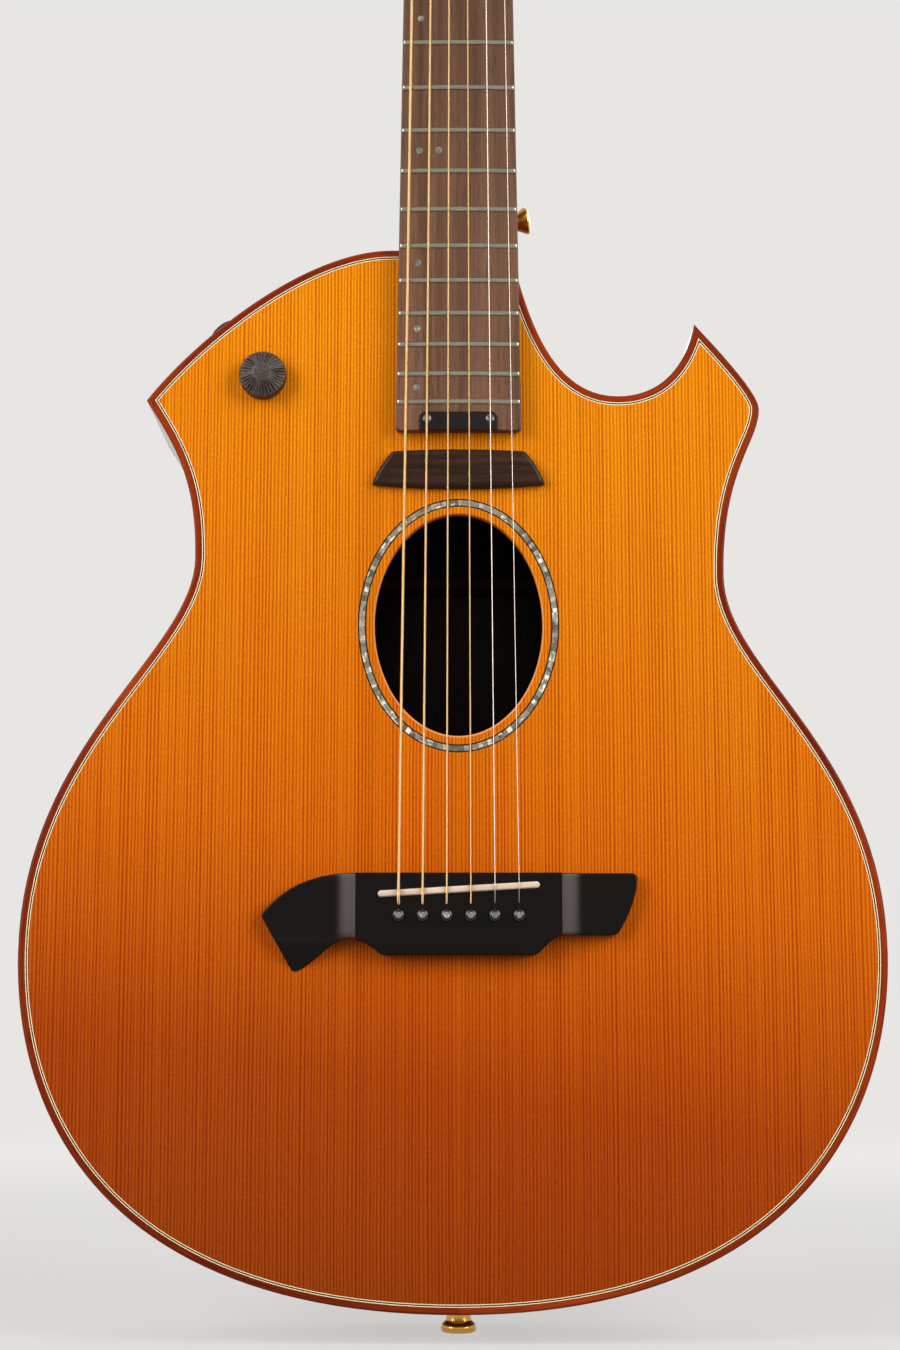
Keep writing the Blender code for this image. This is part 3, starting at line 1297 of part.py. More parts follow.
def end_pin_jack():
    """The output jack that is also the tail strap button. It returns its hole in rim and block."""
    out, lip = JACK_OUT, CLEARANCE
    profile = [
        (0, out - JACK_BORE_DEPTH),
        (JACK_BORE, out - JACK_BORE_DEPTH),
        (JACK_BORE, out),
        (JACK_HEAD * 0.85, out),
        (JACK_HEAD, out * 0.90),
        (JACK_HEAD, out * 0.74),
        (JACK_HEAD * 0.72, out * 0.58),
        (JACK_HEAD * 0.72, lip + out * 0.18),
        (JACK_HEAD * 1.05, lip + out * 0.11),
        (JACK_HEAD * 1.05, lip),
        (JACK_BARREL, lip),
        (JACK_BARREL, out - JACK_LENGTH),
        (0, out - JACK_LENGTH),
    ]
    where, turn = (0, 0, -TAIL_DEPTH / 2), (math.pi / 2, 0, 0)
    place_of_jack = place("end_pin_jack", profile_mesh("jack", profile), FACE, where, turn, GOLD)
    turned(place_of_jack)
    hole = rod("jack_hole", JACK_BARREL + CLEARANCE, -JACK_LENGTH, JACK_OUT)
    return place("jack_hole", hole, FACE, where, turn)


def build():
    """Makes every piece, with the holes that pass through several of them made once."""
    pin_holes = [pin_hole(n, string_x(n, SADDLE_Y)) for n in range(1, 7)]
    jack_hole = end_pin_jack()
    soundboard([volume_knob(), neck_pickup(), *pin_holes, rosette_groove()])
    rim([preamp(), jack_hole])
    bindings()
    rosette()
    linings()
    back_plate()
    blocks(jack_hole)
    top_bracing()
    back_bracing()
    bridge_plate(pin_holes)
    bridge(pin_holes)
    saddle()
    fingerboard()
    adjuster_cover()
    nut()
    truss_rod()
    peg_holes = [tuning_machine(n) for n in range(1, 7)]
    neck([*peg_holes, rod_channel(), heel_strap_button()])
    for number in range(1, 7):
        bridge_pin(number)
        string(number)


build()
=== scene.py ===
"""A steel-string acoustic-electric guitar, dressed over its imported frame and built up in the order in
which a maker puts it together. Pieces are drawn in the maker's frame of the soundboard: x across
towards the treble side, y up the neck from the tail, z out of the soundboard. Sizes are in metres."""
import json
import math
from functools import cached_property

import bmesh
import bpy
import numpy as np
from mathutils import Matrix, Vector
from mathutils.geometry import tessellate_polygon


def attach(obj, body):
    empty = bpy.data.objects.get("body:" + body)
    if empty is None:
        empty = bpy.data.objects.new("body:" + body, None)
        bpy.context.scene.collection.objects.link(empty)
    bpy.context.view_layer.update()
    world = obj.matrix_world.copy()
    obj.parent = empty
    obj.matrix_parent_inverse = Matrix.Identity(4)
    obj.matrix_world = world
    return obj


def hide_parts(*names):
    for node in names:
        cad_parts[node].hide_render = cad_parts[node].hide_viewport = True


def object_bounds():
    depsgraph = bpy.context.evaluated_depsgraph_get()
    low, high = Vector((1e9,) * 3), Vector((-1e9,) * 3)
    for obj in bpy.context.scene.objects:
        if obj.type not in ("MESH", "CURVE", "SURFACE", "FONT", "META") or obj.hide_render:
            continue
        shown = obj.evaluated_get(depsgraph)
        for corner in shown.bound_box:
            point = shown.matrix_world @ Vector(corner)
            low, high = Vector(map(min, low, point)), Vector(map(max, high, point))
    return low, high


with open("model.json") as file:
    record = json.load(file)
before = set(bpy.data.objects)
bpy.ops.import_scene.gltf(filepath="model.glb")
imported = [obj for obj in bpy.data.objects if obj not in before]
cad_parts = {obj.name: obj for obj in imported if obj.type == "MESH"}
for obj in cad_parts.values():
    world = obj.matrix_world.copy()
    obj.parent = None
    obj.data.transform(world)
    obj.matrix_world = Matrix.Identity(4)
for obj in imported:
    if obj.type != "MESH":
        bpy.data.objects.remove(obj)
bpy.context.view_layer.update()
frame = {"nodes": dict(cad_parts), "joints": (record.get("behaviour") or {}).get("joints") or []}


# --- Rim ---------------------------------------------------------------------------------------------
# The side of the body is a thin strip of red-brown hardwood, wetted and bent round a hot form to the
# outline, with one pointed horn at the cutaway. It is lacquered to a high gloss, and it is cut for the
# preamp in the bass shoulder and for the jack at the tail.
BODY_LENGTH = 0.470
TAIL_DEPTH, JOINT_DEPTH = 0.096, 0.086
BINDING_DEPTH = 0.0060
RIM_THICKNESS = 0.0030
RIM_ROWS = 41
PREAMP_FROM_HORN, PREAMP_TOP, PREAMP_PANEL_HEIGHT = 0.0505, 0.016, 0.058
PREAMP_BOX_LENGTH, PREAMP_BOX_HEIGHT = 0.048, 0.046
JACK_HOLE_RADIUS = 0.0066
OUTLINE_KNOTS = (
    # x, y, the direction in and out in degrees, the lean in and out as a share of the chord, steps
    (0.0, 0.0, 180, 180, 0.573, 0.577, 44),
    (-0.1915, 0.153, 90, 90, 0.325, 0.490, 32),
    (-0.1173, 0.328, 90, 90, 0.227, 0.420, 20),
    (-0.1402, 0.400, 123, 53, 0.382, 0.280, 32),
    (-0.0305, 0.470, 0, 0, 0.296, 0.100, 4),
    (0.0234, 0.470, 0, -74, 0.100, 0.290, 24),
    (0.0716, 0.402, 0, 0, 0.392, 0.510, 20),
    (0.1066, 0.4354, 79, -49, 0.250, 0.226, 12),
    (0.1351, 0.396, -91, -91, 0.164, 0.200, 20),
    (0.1179, 0.320, -90, -90, 0.618, 0.244, 32),
    (0.1864, 0.153, -90, -90, 0.500, 0.314, 44),
)


def knot_loop(knots):
    """Cubic curves through the knots: s^3 P0 + 3 s^2 t P1 + 3 s t^2 P2 + t^3 P3 with s = 1 - t, where
    P1 and P2 lean out of the knots along their directions by a share of the chord."""
    runs = []
    for start, end in zip(knots, knots[1:] + knots[:1]):
        p0, p3 = np.array(start[:2]), np.array(end[:2])
        chord = np.linalg.norm(p3 - p0)
        out, into = math.radians(start[3]), math.radians(end[2])
        p1 = p0 + start[5] * chord * np.array([math.cos(out), math.sin(out)])
        p2 = p3 - end[4] * chord * np.array([math.cos(into), math.sin(into)])
        t = (np.arange(start[6]) / start[6])[:, None]
        runs.append((1 - t) ** 3 * p0 + 3 * (1 - t) ** 2 * t * p1 + 3 * (1 - t) * t * t * p2 + t**3 * p3)
    return np.concatenate(runs)


def unit(vectors):
    """Each vector along the last axis, brought to the length 1."""
    return vectors / np.linalg.norm(vectors, axis=-1, keepdims=True)


def outward(loop):
    """The mitred outward direction at each point of a clockwise loop: the mean of its two edges'
    normals (-dy, dx), lengthened by 1 / cos of half the turn."""
    ahead = unit(np.roll(loop, -1, 0) - loop)
    both = ahead + np.roll(ahead, 1, 0)
    normal = unit(np.stack([-both[:, 1], both[:, 0]], 1))
    cosine = normal[:, 1] * ahead[:, 0] - normal[:, 0] * ahead[:, 1]
    return normal / np.maximum(cosine, 0.3)[:, None]


def distance_to(loop, points):
    """Each point's least distance to the loop's straight edges a + s (b - a), 0 <= s <= 1."""
    along = np.roll(loop, -1, 0) - loop
    offset = points[:, None] - loop[None]
    share = np.clip((offset * along).sum(2) / (along**2).sum(1), 0, 1)
    return np.linalg.norm(offset - share[..., None] * along, axis=2).min(1)


def inset(loop, amount):
    """The loop moved inwards by amount. Where a point would come too near another stretch, as behind
    the horn's tip, it takes the place of its nearest good neighbour along the loop. Sharp corners stay."""
    moved = loop - outward(loop) * amount
    if amount <= 0:
        return moved
    ahead = np.roll(loop, -1, 0) - loop
    turn = np.arctan2(ahead[:, 1], ahead[:, 0])
    bend = np.abs((turn - np.roll(turn, 1) + np.pi) % (2 * np.pi) - np.pi)
    good = np.nonzero((distance_to(loop, moved) > 0.985 * amount) | (bend > math.radians(60)))[0]
    steps = np.abs(np.arange(len(loop))[:, None] - good)
    return moved[good[np.minimum(steps, len(loop) - steps).argmin(1)]]


def lengths(loop):
    """The distance run along a closed loop at each point, with the whole way round as the last."""
    edges = np.linalg.norm(np.roll(loop, -1, 0) - loop, axis=1)
    return np.concatenate([[0.0], np.cumsum(edges)])


def body_depth(y):
    """The depth of the body: a straight taper from the tail to the neck joint."""
    return TAIL_DEPTH + (JOINT_DEPTH - TAIL_DEPTH) * y / BODY_LENGTH


def spots(x, y, z):
    """Points from three arrays or numbers, which are spread to one shape."""
    return np.stack(np.broadcast_arrays(x, y, z), -1)


def raised(loop, z):
    """The (x, y) of a loop or a table of points, lifted to the heights z."""
    return spots(loop[..., 0], loop[..., 1], z)


class Stock:
    """The points, faces and texture places of one piece while it is being shaped."""

    def __init__(self):
        self.points, self.faces, self.places, self.count = [], [], [], 0

    def add(self, points, faces, places=None):
        """Adds faces, an array of corner numbers, with a texture place (u, v) for each corner."""
        faces = np.asarray(faces, int)
        self.points.append(np.asarray(points, float).reshape(-1, 3))
        self.faces.append(faces + self.count)
        self.places.append(np.zeros((*faces.shape, 2)) if places is None else places)
        self.count += len(self.points[-1])
        return self

    def grid(self, table, closed=False, lapped=False, u=None, v=None, keep=None):
        """Quads over a table of points, rows by columns. closed joins the last column to the first,
        lapped the last row to the first. u runs along the columns and v along the rows, in metres."""
        rows, columns = table.shape[:2]
        across, down = columns if closed else columns - 1, rows if lapped else rows - 1
        j, i = np.meshgrid(np.arange(down), np.arange(across), indexing="ij")
        if keep is not None:
            j, i = j[keep], i[keep]
        j, i = j.ravel(), i.ravel()
        i2, j2 = (i + 1) % columns, (j + 1) % rows
        faces = np.stack([j * columns + i, j * columns + i2, j2 * columns + i2, j2 * columns + i], 1)
        u = np.arange(columns + 1.0) if u is None else u
        v = np.arange(rows + 1.0) if v is None else v
        corners = ((0, 0), (1, 0), (1, 1), (0, 1))
        return self.add(table, faces, np.stack([np.stack([u[i + a], v[j + b]], 1) for a, b in corners], 1))

    def fan(self, loop):
        """Closes a loop with triangles to its middle."""
        i = np.arange(len(loop))
        faces = np.stack([i, (i + 1) % len(loop), np.full(len(loop), len(loop))], 1)
        return self.add(np.concatenate([loop, loop.mean(0)[None]]), faces)

    def sheet(self, loops, z):
        """A flat sheet at the height z, inside the first loop of (x, y) and outside the others, filled by
        the fewest triangles."""
        faces = tessellate_polygon([raised(loop, 0).tolist() for loop in loops])
        return self.add(raised(np.concatenate(loops), z), faces)

    def take(self, other, move=lambda points: points):
        """Adds another piece's stock, moved."""
        self.points += [move(points) for points in other.points]
        self.faces += [faces + self.count for faces in other.faces]
        self.places += other.places
        self.count += other.count
        return self


def from_face(points):
    """The maker's frame to the shared frame: (x, y, z) goes to (x, -z - half the tail depth, y)."""
    return np.stack([points[:, 0], -points[:, 2] - TAIL_DEPTH / 2, points[:, 1]], 1)


def make(name, stock, finish, node=None, body="guitar", sharp=35, frame_of=from_face, outwards=True):
    """Turns shaped stock into an object: welds its seams, points its faces outwards, shades it smooth
    but for edges sharper than the angle, gives it its finish and sets it on its body."""
    mesh = bpy.data.meshes.new(name)
    mesh.from_pydata(
        frame_of(np.concatenate(stock.points)).tolist(), [],
        [tuple(face) for faces in stock.faces for face in faces.tolist()])
    places = np.concatenate([places.reshape(-1, 2) for places in stock.places])
    mesh.uv_layers.new(name="run").data.foreach_set("uv", places.ravel())
    shape = bmesh.new()
    shape.from_mesh(mesh)
    bmesh.ops.remove_doubles(shape, verts=shape.verts, dist=2e-6)
    bmesh.ops.dissolve_degenerate(shape, edges=shape.edges, dist=1e-6)
    if outwards:
        bmesh.ops.recalc_face_normals(shape, faces=shape.faces)
    shape.to_mesh(mesh)
    shape.free()
    mesh.shade_smooth()
    mesh.set_sharp_from_angle(angle=math.radians(sharp))
    mesh.materials.append(finish.material)
    piece = bpy.data.objects.new(name, mesh)
    bpy.context.scene.collection.objects.link(piece)
    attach(piece, body)
    if node:
        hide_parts(node)
    return piece


class Socket:
    """A node's output, so that shader maths reads as plain sums."""

    def __init__(self, nodes, output):
        self.nodes, self.output = nodes, output

    def math(self, operation, *others):
        """A Math node over this socket and the others."""
        inputs = {f"_{place}": value for place, value in enumerate((self, *others))}
        return self.nodes.node("Math", {"operation": operation}, **inputs)

    def __add__(self, other):
        return self.math("ADD", other)

    def __sub__(self, other):
        return self.math("SUBTRACT", other)

    def __mul__(self, other):
        return self.math("MULTIPLY", other)

    def __truediv__(self, other):
        return self.math("DIVIDE", other)

    def __pow__(self, other):
        return self.math("POWER", other)

    def __rsub__(self, other):
        return self * -1.0 + other

    __radd__, __rmul__ = __add__, __mul__

    def clamp(self):
        return self.math("MAXIMUM", 0.0).math("MINIMUM", 1.0)

    def step(self, low, high):
        """A smooth rise from 0 at low to 1 at high."""
        share = ((self - low) / (high - low)).clamp()
        return share * share * (3 - 2 * share)


class Nodes:
    """A node tree while it is being laid out."""

    def __init__(self, tree):
        self.tree = tree

    def node(self, kind, settings=None, output=0, **inputs):
        """Any node: its settings first, then the values or links of its sockets. A socket goes by its
        name, or by its number after a low line."""
        made = self.tree.nodes.new("ShaderNode" + kind)
        for key, value in (settings or {}).items():
            if key == "stops":
                steps = made.color_ramp.elements
                for at, tint in value[1:-1]:
                    steps.new(at).color = tint
                for end in (0, -1):
                    steps[end].position, steps[end].color = value[end]
            else:
                setattr(made, key, value)
        for key, value in inputs.items():
            socket = made.inputs[int(key[1:]) if key[0] == "_" else key.replace("_", " ")]
            if isinstance(value, Socket):
                self.tree.links.new(value.output, socket)
            else:
                socket.default_value = value
        return Socket(self, made.outputs[output])


class Finish(Nodes):
    """A Principled material, and the record's slot that it stands for."""

    def __init__(self, name, slot, **fixed):
        self.material = bpy.data.materials.new(name)
        self.material.use_nodes = True
        super().__init__(self.material.node_tree)
        self.slot, self.shader = slot, self.tree.nodes["Principled BSDF"]
        for socket, value in fixed.items():
            self.shader.inputs[socket.replace("_", " ")].default_value = value

    @cached_property
    def place(self):
        """Object coordinates as three sockets, in metres."""
        spot = self.node("TexCoord", output="Object")
        return [self.node("SeparateXYZ", output=axis, Vector=spot) for axis in range(3)]

    @cached_property
    def run(self):
        """The piece's own (u, v), in metres."""
        spot = self.node("UVMap", {"uv_map": "run"})
        return [self.node("SeparateXYZ", output=axis, Vector=spot) for axis in range(2)]

    def noise(self, x, y, z=0.0, detail=2.0, roughness=0.5):
        """Noise at the point (x, y, z), made of numbers or sockets."""
        spot = self.node("CombineXYZ", X=x, Y=y, Z=z)
        return self.node("TexNoise", Vector=spot, Scale=1.0, Detail=detail, Roughness=roughness)

    def grain(self, across, deep, up, detail=2.0, roughness=0.5):
        """Noise with so many patches to the metre across, deep and up the guitar."""
        x, y, z = self.place
        return self.noise(x * across, y * deep, z * up, detail, roughness)

    def ramp(self, share, *stops):
        return self.node("ValToRGB", {"stops": stops}, Fac=share)

    def mix(self, share, low, high):
        """A colour between two colours or sockets."""
        return self.node("Mix", {"data_type": "RGBA"}, output=2, _0=share, _6=low, _7=high)

    def feed(self, name, socket):
        self.tree.links.new(socket.output, self.shader.inputs[name])

    def paint(self, share, low, high):
        self.feed("Base Color", self.mix(share, low, high))

    def bump(self, height, distance):
        self.feed("Normal", self.node("Bump", Height=height, Distance=distance, Strength=1.0))


def colour(red, green, blue):
    """A screen colour from 0 to 255 as the linear colour that a shader takes."""
    shares = (value / 255 for value in (red, green, blue))
    return (*(s / 12.92 if s <= 0.04045 else ((s + 0.055) / 1.055) ** 2.4 for s in shares), 1)


def hardwood(name, slot, dark, mid, light, bent=False, **fixed):
    """Open-grained hardwood, with its grain along a bent strip's run, or else up the guitar: streaks are
    noise stretched 40 times that way, pores are thresholded noise stretched 25 times, and a slow noise
    shades whole areas."""
    wood = Finish(name, slot, **fixed)
    if bent:
        x, y = wood.run
        z = y * 0.0
    else:
        y, z, x = wood.place
    drift = wood.noise(x * 3, y * 9, z * 9) - 0.5
    bands = wood.noise(x * 2.2, y * 90 + drift * 5, z * 90, 3.0)
    fine = wood.noise(x * 14, y * 900, z * 900)
    pores = wood.noise(x * 60, y * 1700, z * 1700, 1.0).step(0.62, 0.70)
    tone = (bands * 0.65 + fine * 0.35 + drift * 0.35).step(0.32, 0.68)
    base = wood.mix(wood.noise(x * 7, y * 20, z * 20).step(0.4, 0.7) * 0.5, wood.mix(tone, dark, light), mid)
    wood.paint(pores * 0.55, base, (*(0.45 * part for part in dark[:3]), 1))
    wood.feed("Roughness", tone * -0.06 + fixed["Roughness"] + pores * 0.1)
    wood.bump(pores * -1.0 + fine * 0.15, 0.00006)
    return wood


RED_DARK, RED_MID, RED_LIGHT = colour(58, 17, 10), colour(96, 33, 17), colour(132, 52, 26)
rim_wood = hardwood(
    "bent_rim_wood", "red_brown_wood", RED_DARK, RED_MID, RED_LIGHT, bent=True,
    Roughness=0.3, Coat_Weight=0.5, Coat_Roughness=0.06, Specular_IOR_Level=0.3)
outline = knot_loop(OUTLINE_KNOTS)
run = lengths(outline)
horn = int(np.linalg.norm(outline - OUTLINE_KNOTS[3][:2], axis=1).argmin())
preamp_run = run[horn] + PREAMP_FROM_HORN
preamp_height = -PREAMP_TOP - PREAMP_PANEL_HEIGHT / 2
front, rear = -BINDING_DEPTH, BINDING_DEPTH - body_depth(outline[:, 1])
heights = front + (rear - front) * np.linspace(0, 1, RIM_ROWS)[:, None]
middle_run, middle_height = (run[:-1] + run[1:]) / 2, (heights[:-1] + heights[1:]) / 2
from_tail = np.minimum(middle_run, run[-1] - middle_run)
at_preamp = (np.abs(middle_run - preamp_run) < PREAMP_BOX_LENGTH / 2) & (
    np.abs(middle_height - preamp_height) < PREAMP_BOX_HEIGHT / 2)
at_jack = (from_tail < JACK_HOLE_RADIUS) & (np.abs(middle_height + TAIL_DEPTH / 2) < JACK_HOLE_RADIUS)
stock = Stock().grid(
    raised(outline, heights), closed=True, u=run, v=np.linspace(0, TAIL_DEPTH, RIM_ROWS),
    keep=~(at_preamp | at_jack))
rim = make("bent_rim", stock, rim_wood, "rim", outwards=False)
wall = rim.modifiers.new("thickness", "SOLIDIFY")
wall.thickness = RIM_THICKNESS
wall.use_even_offset = True


# --- Blocks, linings and braces ----------------------------------------------------------------------
# Inside, light spruce and mahogany parts stiffen the shell: glue ledges round both edges, blocks at the
# neck and the tail, an X brace and a cross bar under the soundboard, and two bars across the back. They
# are bare sanded wood, seen through the sound hole only, and are coloured in dark browns, darker than
# the bare wood: painted shade inside the closed body.
bracing_with_painted_shade = hardwood(
    "bracing_wood_painted_shade", "pale_bracing_wood", colour(44, 24, 14), colour(56, 32, 19), colour(70, 42, 26),
    Roughness=0.8, Specular_IOR_Level=0.1)
for node in (
    "top_lining", "back_lining", "neck_block", "tail_block", "x_brace", "transverse_brace", "bridge_plate",
    "back_brace_upper", "back_brace_lower",
):
    frame["nodes"][node].material_slots[0].material = bracing_with_painted_shade.material


# --- Back --------------------------------------------------------------------------------------------
# The back is two bookmatched halves of the same red-brown wood with a light and dark line let in down
# their joint. It is arched by its braces, so that it bulges 4 mm between its edges.
BINDING_WIDTH = 0.0032
BACK_THICKNESS, BACK_ARCH = 0.0028, 0.0040
ARCH_CENTRE = np.array([0.040, 0.153])


def bookmatched(finish, across, up, detail=2.0):
    """Noise over |x| and z, the same on both sides of the joint, as the halves come from one board."""
    x, _, z = finish.place
    return finish.noise(x.math("ABSOLUTE") * across, z * up, detail=detail)


book = Finish(
    "bookmatched_back", "red_brown_wood", Roughness=0.3, Coat_Roughness=0.06, Specular_IOR_Level=0.05)
x, _, z = book.place
side = x.math("ABSOLUTE")
figure = book.noise(side * 55 + (bookmatched(book, 8, 3) - 0.5) * 7, z * 1.6, detail=3.0)
fine = bookmatched(book, 800, 9)
pores = bookmatched(book, 1500, 50, 1.0).step(0.62, 0.70)
tone = (figure * 0.65 + fine * 0.22 + bookmatched(book, 10, 120, 1.0) * 0.13).step(0.36, 0.64)
base = book.mix(pores * 0.6, book.mix(tone, RED_DARK, RED_LIGHT), colour(26, 8, 5))
for half_width, tint in ((0.0032, (206, 168, 110)), (0.0022, (24, 12, 9)), (0.0012, (150, 62, 30))):
    base = book.mix(side.step(half_width, half_width - 0.0002), base, colour(*tint))
# The inside face of the back is painted near-black: painted shade inside the closed body. Only the outside
# face keeps the wood's own colour and the lacquer.
facing = book.node("SeparateXYZ", output="Y", Vector=book.node("NewGeometry", output="Normal"))
outside = facing.step(-0.2, 0.2)
book.paint(outside, book.mix(tone, colour(20, 7, 5), colour(40, 16, 10)), base)
book.feed("Coat Weight", outside * 0.8)
book.bump(pores * -1.0 + fine * 0.1, 0.00005)

plate_edge = inset(outline, BINDING_WIDTH)
shares = np.append(np.linspace(1.0, 0.06, 22), 0.0)[:, None]
flat = ARCH_CENTRE + (plate_edge - ARCH_CENTRE) * shares[..., None]
outer = raised(flat, -body_depth(flat[..., 1]) - BACK_ARCH * (1 - shares**2))
inner = outer + [0, 0, BACK_THICKNESS]
stock = Stock().grid(outer, closed=True).grid(inner, closed=True)
make("arched_back", stock.grid(np.stack([outer[0], inner[0]]), closed=True), book, "back_plate")


# --- Soundboard --------------------------------------------------------------------------------------
# The top is a thin flat plate of straight-grained spruce under amber-tinted lacquer. Its edge is
# rabbeted for the purfling, its oval hole is rounded over, and a groove for the pearl ring runs round it.
# Its colour darkens from amber at the neck to red-brown at the tail and towards the bass side: partly a
# real tint in the lacquer, partly painted shade where the light falls off.
SOUNDBOARD_THICKNESS = 0.0030
PURFLING_WIDTH, PURFLING_DEPTH = 0.0013, 0.0012
HOLE_WIDTH, HOLE_LENGTH, HOLE_LIP = 0.0744, 0.0992, 0.0006
SCALE_LENGTH, FRET_COUNT, JOINT_FRET = 0.6477, 19, 14
SADDLE_Y = BODY_LENGTH - SCALE_LENGTH / 2 ** (JOINT_FRET / 12)
NUT_Y = SADDLE_Y + SCALE_LENGTH
BOARD_END_Y = SADDLE_Y + SCALE_LENGTH / 2 ** (FRET_COUNT / 12) - 0.0129
HOLE_Y = BOARD_END_Y - 0.0872
PIN_Y = SADDLE_Y - 0.0127
STRINGS = range(1, 7)
SPREAD_AT_SADDLE, SPREAD_AT_NUT = 0.0520, 0.0366
RING_MARGIN, RING_WIDTH, RING_DEPTH = 0.0038, 0.0036, 0.0012
VOLUME_X, VOLUME_Y = -0.0878, BODY_LENGTH - 0.0595
PICKUP_GAP, PICKUP_DEPTH, PICKUP_BOW = 0.0080, 0.0153, 0.0009
COIL_HALF_LENGTH, COIL_HALF_WIDTH = 0.0293, 0.00505
VOLUME_HOLE_RADIUS, PIN_HOLE_RADIUS = 0.0033, 0.0028
GRAIN_SPACING = 0.00155


def whole_turn(steps):
    """Angles round a circle, without the first again at its end."""
    return np.arange(steps) / steps * 2 * np.pi


def ellipse(grow, steps=180):
    """The sound hole's oval, x = a cos t and y = b sin t, grown by grow all round."""
    turn = whole_turn(steps)
    return np.stack([
        (HOLE_WIDTH / 2 + grow) * np.cos(turn), HOLE_Y + (HOLE_LENGTH / 2 + grow) * np.sin(turn)], 1)


def circle(x, y, radius, steps=24):
    """A circle of points in the plane of the soundboard."""
    turn = whole_turn(steps)
    return np.stack([x + radius * np.cos(turn), y + radius * np.sin(turn)], 1)


def string_x(number, y):
    """Where a string lies across the neck at the height y: the spread narrows evenly to the nut."""
    spread = SPREAD_AT_SADDLE + (SPREAD_AT_NUT - SPREAD_AT_SADDLE) * (y - SADDLE_Y) / SCALE_LENGTH
    return spread * (0.5 - (number - 1) / 5)


spruce = Finish(
    "amber_lacquered_spruce", "amber_spruce",
    Roughness=0.42, Coat_Weight=0.05, Coat_Roughness=0.1, Specular_IOR_Level=0.05)
x, _, z = spruce.place
wobble = bookmatched(spruce, 6, 2.5) - 0.5
wide = bookmatched(spruce, 22, 0.7, 1.0) - 0.5
uneven = bookmatched(spruce, 130, 1.1, 1.0) - 0.5
phase = (x.math("ABSOLUTE") + wobble * 0.004) * (2 * math.pi / GRAIN_SPACING) + wide * 22 + uneven * 9
late = (phase.math("SINE") * 0.5 + 0.5) ** 1.2
each = bookmatched(spruce, 420, 1.6).step(0.30, 0.66)
streak = bookmatched(spruce, 1500, 11).step(0.42, 0.70)
fleck = bookmatched(spruce, 1900, 700) - 0.5
broken = bookmatched(spruce, 900, 620)
rays = spruce.noise(x * 40, z * 700, detail=1.0).step(0.55, 0.8)
cloud = spruce.noise(x * 9, z * 3).step(0.3, 0.7)
base = spruce.mix(cloud, colour(255, 160, 10), colour(255, 170, 16))
for share, tint in (
    (late * (each * 0.42 + 0.46) * (broken * 0.8 + 0.6), (180, 54, 1)), (streak * 0.20, (206, 88, 4)),
    (rays * 0.10, (255, 176, 60)), ((fleck * 1.6 + 0.18).clamp(), (214, 104, 6)),
):
    base = spruce.mix(share, base, colour(*tint))
# Painted shade, partly real tint: the colour darkens towards the tail and the bass side.
shade = spruce.ramp(
    z / BODY_LENGTH + x * 0.35,
    (0.0, (0.40, 0.20, 0.7, 1)), (0.20, (0.53, 0.24, 0.65, 1)), (0.42, (0.84, 0.54, 0.6, 1)),
    (0.66, (0.94, 0.79, 0.85, 1)), (0.9, (1, 1, 1, 1)))
base = spruce.node("VectorMath", {"operation": "MULTIPLY"}, _0=base, _1=shade)
# The hole's lip is painted lighter round its sides and lower half, a painted highlight, and darker along its
# top, a painted shadow.
across, along = x / (HOLE_WIDTH / 2), (z - HOLE_Y) / (HOLE_LENGTH / 2)
lip = (across * across + along * along).step(1.045, 1.02)
base = spruce.mix(lip * along.step(0.75, 0.1) * 0.75, base, colour(255, 172, 104))
spruce.paint(lip * along.step(0.6, 1.0) * 0.6, base, colour(120, 40, 4))
spruce.feed("Roughness", late * 0.1 + 0.38)
spruce.bump(late * -0.6 + fleck * 0.4, 0.00004)

top_edge = inset(outline, BINDING_WIDTH + PURFLING_WIDTH)
coil_y = BOARD_END_Y - PICKUP_GAP - PICKUP_DEPTH / 2 - PICKUP_BOW
coil = [COIL_HALF_LENGTH, COIL_HALF_WIDTH] * np.array([[-1, -1], [1, -1], [1, 1], [-1, 1]]) + [0, coil_y]
through = [coil, circle(VOLUME_X, VOLUME_Y, VOLUME_HOLE_RADIUS)]
through += [circle(string_x(number, SADDLE_Y), PIN_Y, PIN_HOLE_RADIUS, 16) for number in STRINGS]
groove_inside, groove_outside, low = RING_MARGIN, RING_MARGIN + RING_WIDTH, -SOUNDBOARD_THICKNESS
lip = [
    (HOLE_LIP * (1 - math.sin(angle)), -HOLE_LIP * (1 - math.cos(angle)))
    for angle in np.linspace(0, math.pi / 2, 6)]
hole_side = [raised(ellipse(grow), z) for grow, z in (
    (groove_outside, 0.0), (groove_outside, -RING_DEPTH), (groove_inside, -RING_DEPTH), (groove_inside, 0.0),
    *lip, (0.0, low))]
rabbet = [
    raised(loop, z) for loop, z in (
        (top_edge, 0.0), (top_edge, -PURFLING_DEPTH), (plate_edge, -PURFLING_DEPTH), (plate_edge, low))]
stock = Stock().sheet([top_edge, ellipse(groove_outside), *through], 0.0)
stock.grid(np.stack(hole_side), closed=True)
stock.sheet([plate_edge, ellipse(0.0), *through], low)
stock.grid(np.stack(rabbet), closed=True)
for loop in through:
    stock.grid(np.stack([raised(loop, 0.0), raised(loop, low)]), closed=True)
make("soundboard_plate", stock, spruce, "soundboard")


# --- Purfling and bindings ---------------------------------------------------------------------------
# Three thin wood lines, cream, black and cream, are glued into the soundboard's rabbet. Outside them a
# strip of dark red-brown wood is bent round the edge and scraped round, and another covers the back's.
BINDING_ROUND = 0.0012


